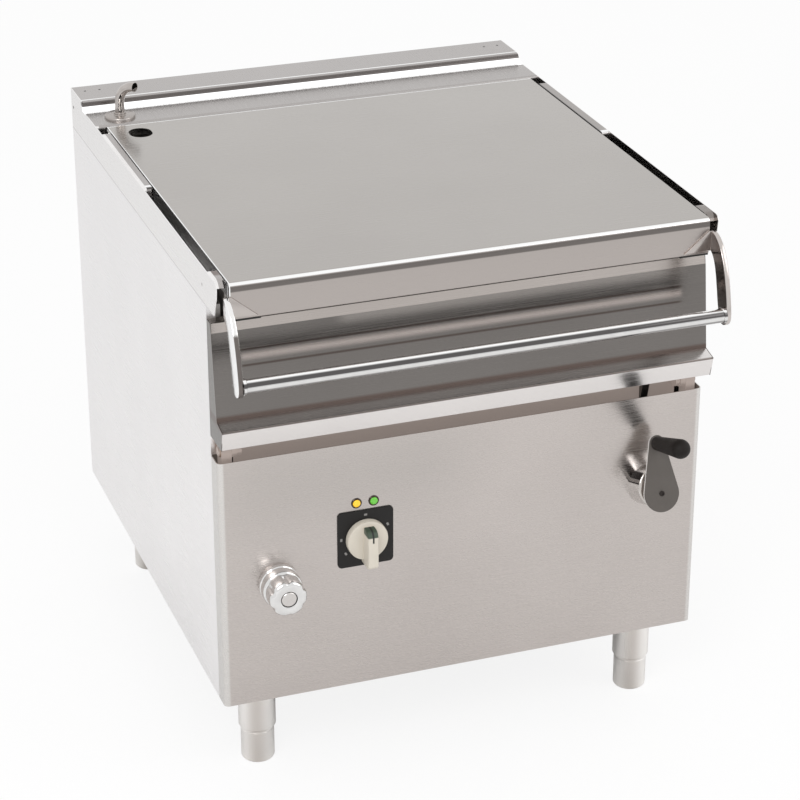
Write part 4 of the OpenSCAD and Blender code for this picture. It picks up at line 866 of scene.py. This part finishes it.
# Water tap: bonnet and a six-lobed knob with a button in the middle
tap = {"x": -308, "z": 364, "bonnetR": 32, "bonnetL": 24, "knobR": 30, "out": 54, "lobes": 6,
       "flute": 2.6, "buttonR": 12, "edge": 7, "count": 144}


def lobed(r, depth):
    line = []
    for k in range(tap["count"]):
        a = 2 * math.pi * k / tap["count"]
        dip = max(0.0, math.cos(a * tap["lobes"] + math.pi)) ** 2
        line.append(((r - depth * dip) * math.cos(a), (r - depth * dip) * math.sin(a)))
    return line


def makeTap():
    place = facing(tap["x"], 0, tap["z"])
    r, length = tap["bonnetR"], tap["bonnetL"]
    bonnet = newShape()
    profile = [(0, 0), (r, 0), (r, 4), (r - 1.6, 5.2), (r - 1.6, 7.4), (r, 8.6), (r, length - 5)]
    profile += arcLine(r - 5, length - 5, 5, 15, 90, 5) + [(0, length)]
    addLathe(bonnet, profile, place, 96)
    finishPiece("tapBonnet", bonnet, "cabinet", finish["chrome"], ["tap_body"], 35)
    knob = newShape()
    r, root, out, b = tap["knobR"], length + 0.3, tap["out"], tap["buttonR"]
    flute, edge = tap["flute"], tap["edge"]
    levels = [(r - 3, flute * 0.7, root), (r - 0.6, flute, root + 1.6), (r, flute + 0.6, root + 4),
              (r, flute + 0.6, out - 8)]
    for a in range(15, 91, 15):
        turn = math.radians(a)
        levels.append((r - edge + edge * math.cos(turn), (flute + 0.6) * (1 - a / 120),
                       out - edge + edge * math.sin(turn)))
    levels += [(b + 2.4, 0, out), (b + 1.4, 0, out - 0.6), (b + 1.2, 0, out - 2.4)]
    for radius, depth, z in levels:
        knob["points"] += [place @ Vector((x / 1000, y / 1000, z / 1000)) for x, y in lobed(radius, depth)]
    addStack(knob, tap["count"], len(levels))
    finishPiece("tapKnob", knob, "tap_handle", finish["chrome"], ["tap_knob"], 40)
    button = newShape()
    profile = [(0, out - 2.6), (b, out - 2.6), (b, out - 0.9), (b - 0.8, out - 0.2), (b * 0.6, out), (0, out)]
    addLathe(button, profile, place, 64)
    finishPiece("tapButton", button, "tap_handle", finish["rail"], (), 30)
    groove = newShape()
    low, high = out - 2.3, out - 1.5
    addLathe(groove, [(b + 0.1, low), (b + 1.1, low), (b + 1.1, high), (b + 0.1, high), (b + 0.1, low)], place, 64)
    finishPiece("tapGroove", groove, "tap_handle", finish["groove"], (), 30)


makeTap()
print("crank, selector, lamps and tap made")


# Swan neck spout: a node tree sweeps a tube along its path
spout = {"x": -348, "y": 733, "top": 886, "discR": 26, "discT": 5, "tubeR": 8, "rise": 24, "bend": 34, "sweep": 90,
         "turn": 38, "wall": 1.3, "steps": 26}


def makeSpout():
    disc = newShape()
    r, t, tube = spout["discR"], spout["discT"], spout["tubeR"]
    profile = [(0, 0), (r, 0), (r, t - 2.4), (r - 0.7, t - 0.8), (r - 2.4, t), (tube + 3, t), (tube + 2, t + 0.8),
               (tube + 2, t + 3.2), (tube + 1.2, t + 4), (0, t + 4)]
    addLathe(disc, profile, upright(spout["x"], spout["y"], spout["top"]), 96)
    finishPiece("spoutDisc", disc, "cabinet", finish["disc"], ["water_spout"], 35)
    turn = upright(spout["x"], spout["y"], spout["top"]) @ Matrix.Rotation(math.radians(spout["turn"]), 4, "Z")
    path = [turn @ Vector((0, 0, h / 1000)) for h in (t + 1, t + 7, t + 13, spout["rise"])]
    b = spout["bend"]

    def onBend(a):
        return Vector((0, -(b - b * math.cos(a)) / 1000, (spout["rise"] + b * math.sin(a)) / 1000))

    end = math.radians(spout["sweep"])
    path += [turn @ onBend(math.radians(spout["sweep"] * k / spout["steps"])) for k in range(1, spout["steps"] + 1)]
    mesh = bpy.data.meshes.new("spoutPath")
    mesh.from_pydata([tuple(p) for p in path], [(i, i + 1) for i in range(len(path) - 1)], [])
    tree, names = nodeTree("spoutSweep", ("Tube radius", "Wall"))
    given = addNode(tree, "NodeGroupInput").outputs
    curve = addNode(tree, "GeometryNodeMeshToCurve", {"Mesh": given["Geometry"]})
    both = addNode(tree, "GeometryNodeJoinGeometry")
    for radius in (given["Tube radius"], addMath(tree, "SUBTRACT", given["Tube radius"], given["Wall"])):
        ring = addNode(tree, "GeometryNodeCurvePrimitiveCircle", {"Resolution": 48, "Radius": radius})
        skin = addNode(tree, "GeometryNodeCurveToMesh", {"Curve": curve.outputs["Curve"],
                                                         "Profile Curve": ring.outputs["Curve"]})
        tree.links.new(skin.outputs["Mesh"], both.inputs["Geometry"])
    closeTree(tree, both.outputs["Geometry"], finish["spout"])
    values = {"Tube radius": tube / 1000, "Wall": spout["wall"] / 1000}
    piece = grown("spoutTube", mesh, tree, names, values)
    work = bmesh.new()
    work.from_mesh(piece.data)
    loops = [e for e in work.edges if e.is_boundary]
    bmesh.ops.bridge_loops(work, edges=[e for e in loops if min((v.co - path[-1]).length for v in e.verts) < 0.012])
    bmesh.ops.bridge_loops(work, edges=[e for e in work.edges if e.is_boundary])
    bmesh.ops.recalc_face_normals(work, faces=work.faces)
    work.to_mesh(piece.data)
    work.free()
    handOver(piece, "cabinet", (), 40)
    # A dark disc just inside the spout's mouth: painted shade for the inside of the tube
    shade = newShape()
    mouth = turn @ Matrix.Translation(onBend(end)) @ Matrix.Rotation(end, 4, "X")
    openR = tube - 0.7
    addLathe(shade, [(0, -0.6), (openR, -0.6), (openR, 0.05), (0, 0.05)], mouth, 40)
    finishPiece("spoutShade", shade, "cabinet", finish["hollow"])


makeSpout()


# Legs: sleeves under the cabinet and the turned feet in them
legs = {"x": 328, "front": 72, "rear": 749, "floor": 14, "top": 160, "sleeveFoot": 74, "sleeveR": 30, "sleeveT": 2.9,
        "plate": 38, "plateOut": 16, "footR": 27, "footEdge": 5, "footL": 120}


def makeLegs():
    sleeves = newShape()
    r, foot, p = legs["sleeveR"], legs["sleeveFoot"], legs["plate"]
    bore, top = r - legs["sleeveT"], legs["top"]
    profile = [(bore, foot + 6), (bore, foot + 1), (r - 2.2, foot), (r - 1.4, foot + 0.6), (r, foot + 2.4), (r, top),
               (bore, top), (bore, foot + 6)]
    for y in (legs["front"], legs["rear"]):
        for s in (-1, 1):
            place = upright(s * legs["x"], y, 0)
            addLathe(sleeves, profile, place, 72)
            low, high = (-p, p + legs["plateOut"]) if s > 0 else (-p - legs["plateOut"], p)
            addPlate(sleeves, [(low, -p), (high, -p), (high, p), (low, p)], place, top, top + 1.5, 0.3, 1)
    finishPiece("legSleeves", sleeves, "cabinet", finish["leg"], ["leg_sleeves"], 35)
    f, edge, length = legs["footR"], legs["footEdge"], legs["footL"]
    profile = [(0, 0), (f - edge, 0)] + arcLine(f - edge, edge, edge, -75, 0, 5)
    profile += [(f, 55.2), (f - 0.4, 55.6), (f - 0.4, 57.6), (f, 58), (f, length), (0, length)]
    for name, body, node, s, y in (("footFrontLeft", "foot_fl", "foot_front_left", -1, legs["front"]),
                                   ("footFrontRight", "foot_fr", "foot_front_right", 1, legs["front"]),
                                   ("footRearLeft", "foot_rl", "foot_rear_left", -1, legs["rear"]),
                                   ("footRearRight", "foot_rr", "foot_rear_right", 1, legs["rear"])):
        turned = newShape()
        addLathe(turned, profile, upright(s * legs["x"], y, legs["floor"]), 72)
        finishPiece(name, turned, body, finish["leg"], [node], 35)


makeLegs()
print("spout and legs made")


# The CAD nodes that show get their own finish
nodeFinish = {
    "base_frame": "plate", "side_panel_left": "side", "side_panel_right": "rail", "rear_panel": "rail",
    "bottom_panel": "plate", "worktop": "top", "side_rails": "top", "bearing_blocks": "inside",
    "bearing_bushes": "bronze", "pan_vessel": "rail", "pan_jacket": "inside", "pan_insulation": "wool",
    "heating_elements": "machined", "pivot_plates": "inside", "pivot_pins": "inside", "tilt_sector": "machined",
    "hinge_ears": "bright", "hinge_pins": "bright", "handle_screws": "bright", "worm_shaft": "machined",
    "gearbox": "cast", "worm_bracket": "plate", "crank_shaft": "bright", "thermostat": "black",
    "spout_pipe": "copper", "inlet_pipe": "copper", "contactor_box": "box", "cable_gland": "black",
    "limit_switch": "black", "panel_screws": "bright",
}
for name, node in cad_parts.items():
    node.data.materials.clear()
    node.data.materials.append(finish[nodeFinish.get(name, "panel")])
print("finishes given to the carried-over nodes")


# Floor, world and lamps
studio = {"floor": 7.0, "world": 0.82, "key": 55.0, "fill": 22.0, "glow": 0.86}


def makeFloor():
    mesh = bpy.data.meshes.new("studioFloor")
    h = studio["floor"]
    mesh.from_pydata([(-h, -h, 0), (h, -h, 0), (h, h, 0), (-h, h, 0)], [], [(0, 1, 2, 3)])
    floor = placed("studioFloor", mesh)
    mat, tree, shader = startMaterial("paleFloor")
    speck = clouded(tree, addNoise(tree, 2.0, 3.0), (249, 249, 249), (251, 251, 251))
    feed(tree, shader, {"Base Color": speck, "Roughness": 0.9, "Specular IOR Level": 0.0})
    glow = addNode(tree, "ShaderNodeEmission", {"Color": (1, 1, 1, 1)})
    rays = addNode(tree, "ShaderNodeLightPath")
    share = addMath(tree, "MULTIPLY", rays.outputs["Is Camera Ray"], studio["glow"])
    mix = addNode(tree, "ShaderNodeMixShader", {"Fac": share, 1: shader.outputs["BSDF"], 2: glow.outputs["Emission"]})
    tree.links.new(mix.outputs["Shader"], tree.nodes["Material Output"].inputs["Surface"])
    mesh.materials.append(mat)


# The world is plain white where it is seen or mirrored, and a little darker as a lamp
def makeWorld():
    world = bpy.data.worlds.new("studio")
    bpy.context.scene.world = world
    world.use_nodes = True
    tree = world.node_tree
    rays = addNode(tree, "ShaderNodeLightPath").outputs
    shown = addMath(tree, "MAXIMUM", rays["Is Camera Ray"], rays["Is Glossy Ray"])
    shown = addMath(tree, "MAXIMUM", shown, rays["Is Transmission Ray"])
    strength = ranged(tree, shown, studio["world"], 1.0, 0.0, 1.0)
    feed(tree, tree.nodes["Background"], {"Color": (1, 1, 1, 1), "Strength": strength})


def makeLamp(name, place, size, power):
    data = bpy.data.lights.new(name, "AREA")
    data.shape, data.size, data.energy = "DISK", size, power
    lamp = placed(name, data)
    lamp.location = at(*place)
    lamp.rotation_mode = "QUATERNION"
    lamp.rotation_quaternion = (at(0, 400, 500) - lamp.location).to_track_quat("-Z", "Y")


makeFloor()
makeWorld()
makeLamp("keyLamp", (-2200, -2600, 3200), 2.2, studio["key"])
makeLamp("fillLamp", (2600, -1800, 2400), 2.6, studio["fill"])
bpy.context.scene.view_settings.view_transform = "Standard"
print("studio made")
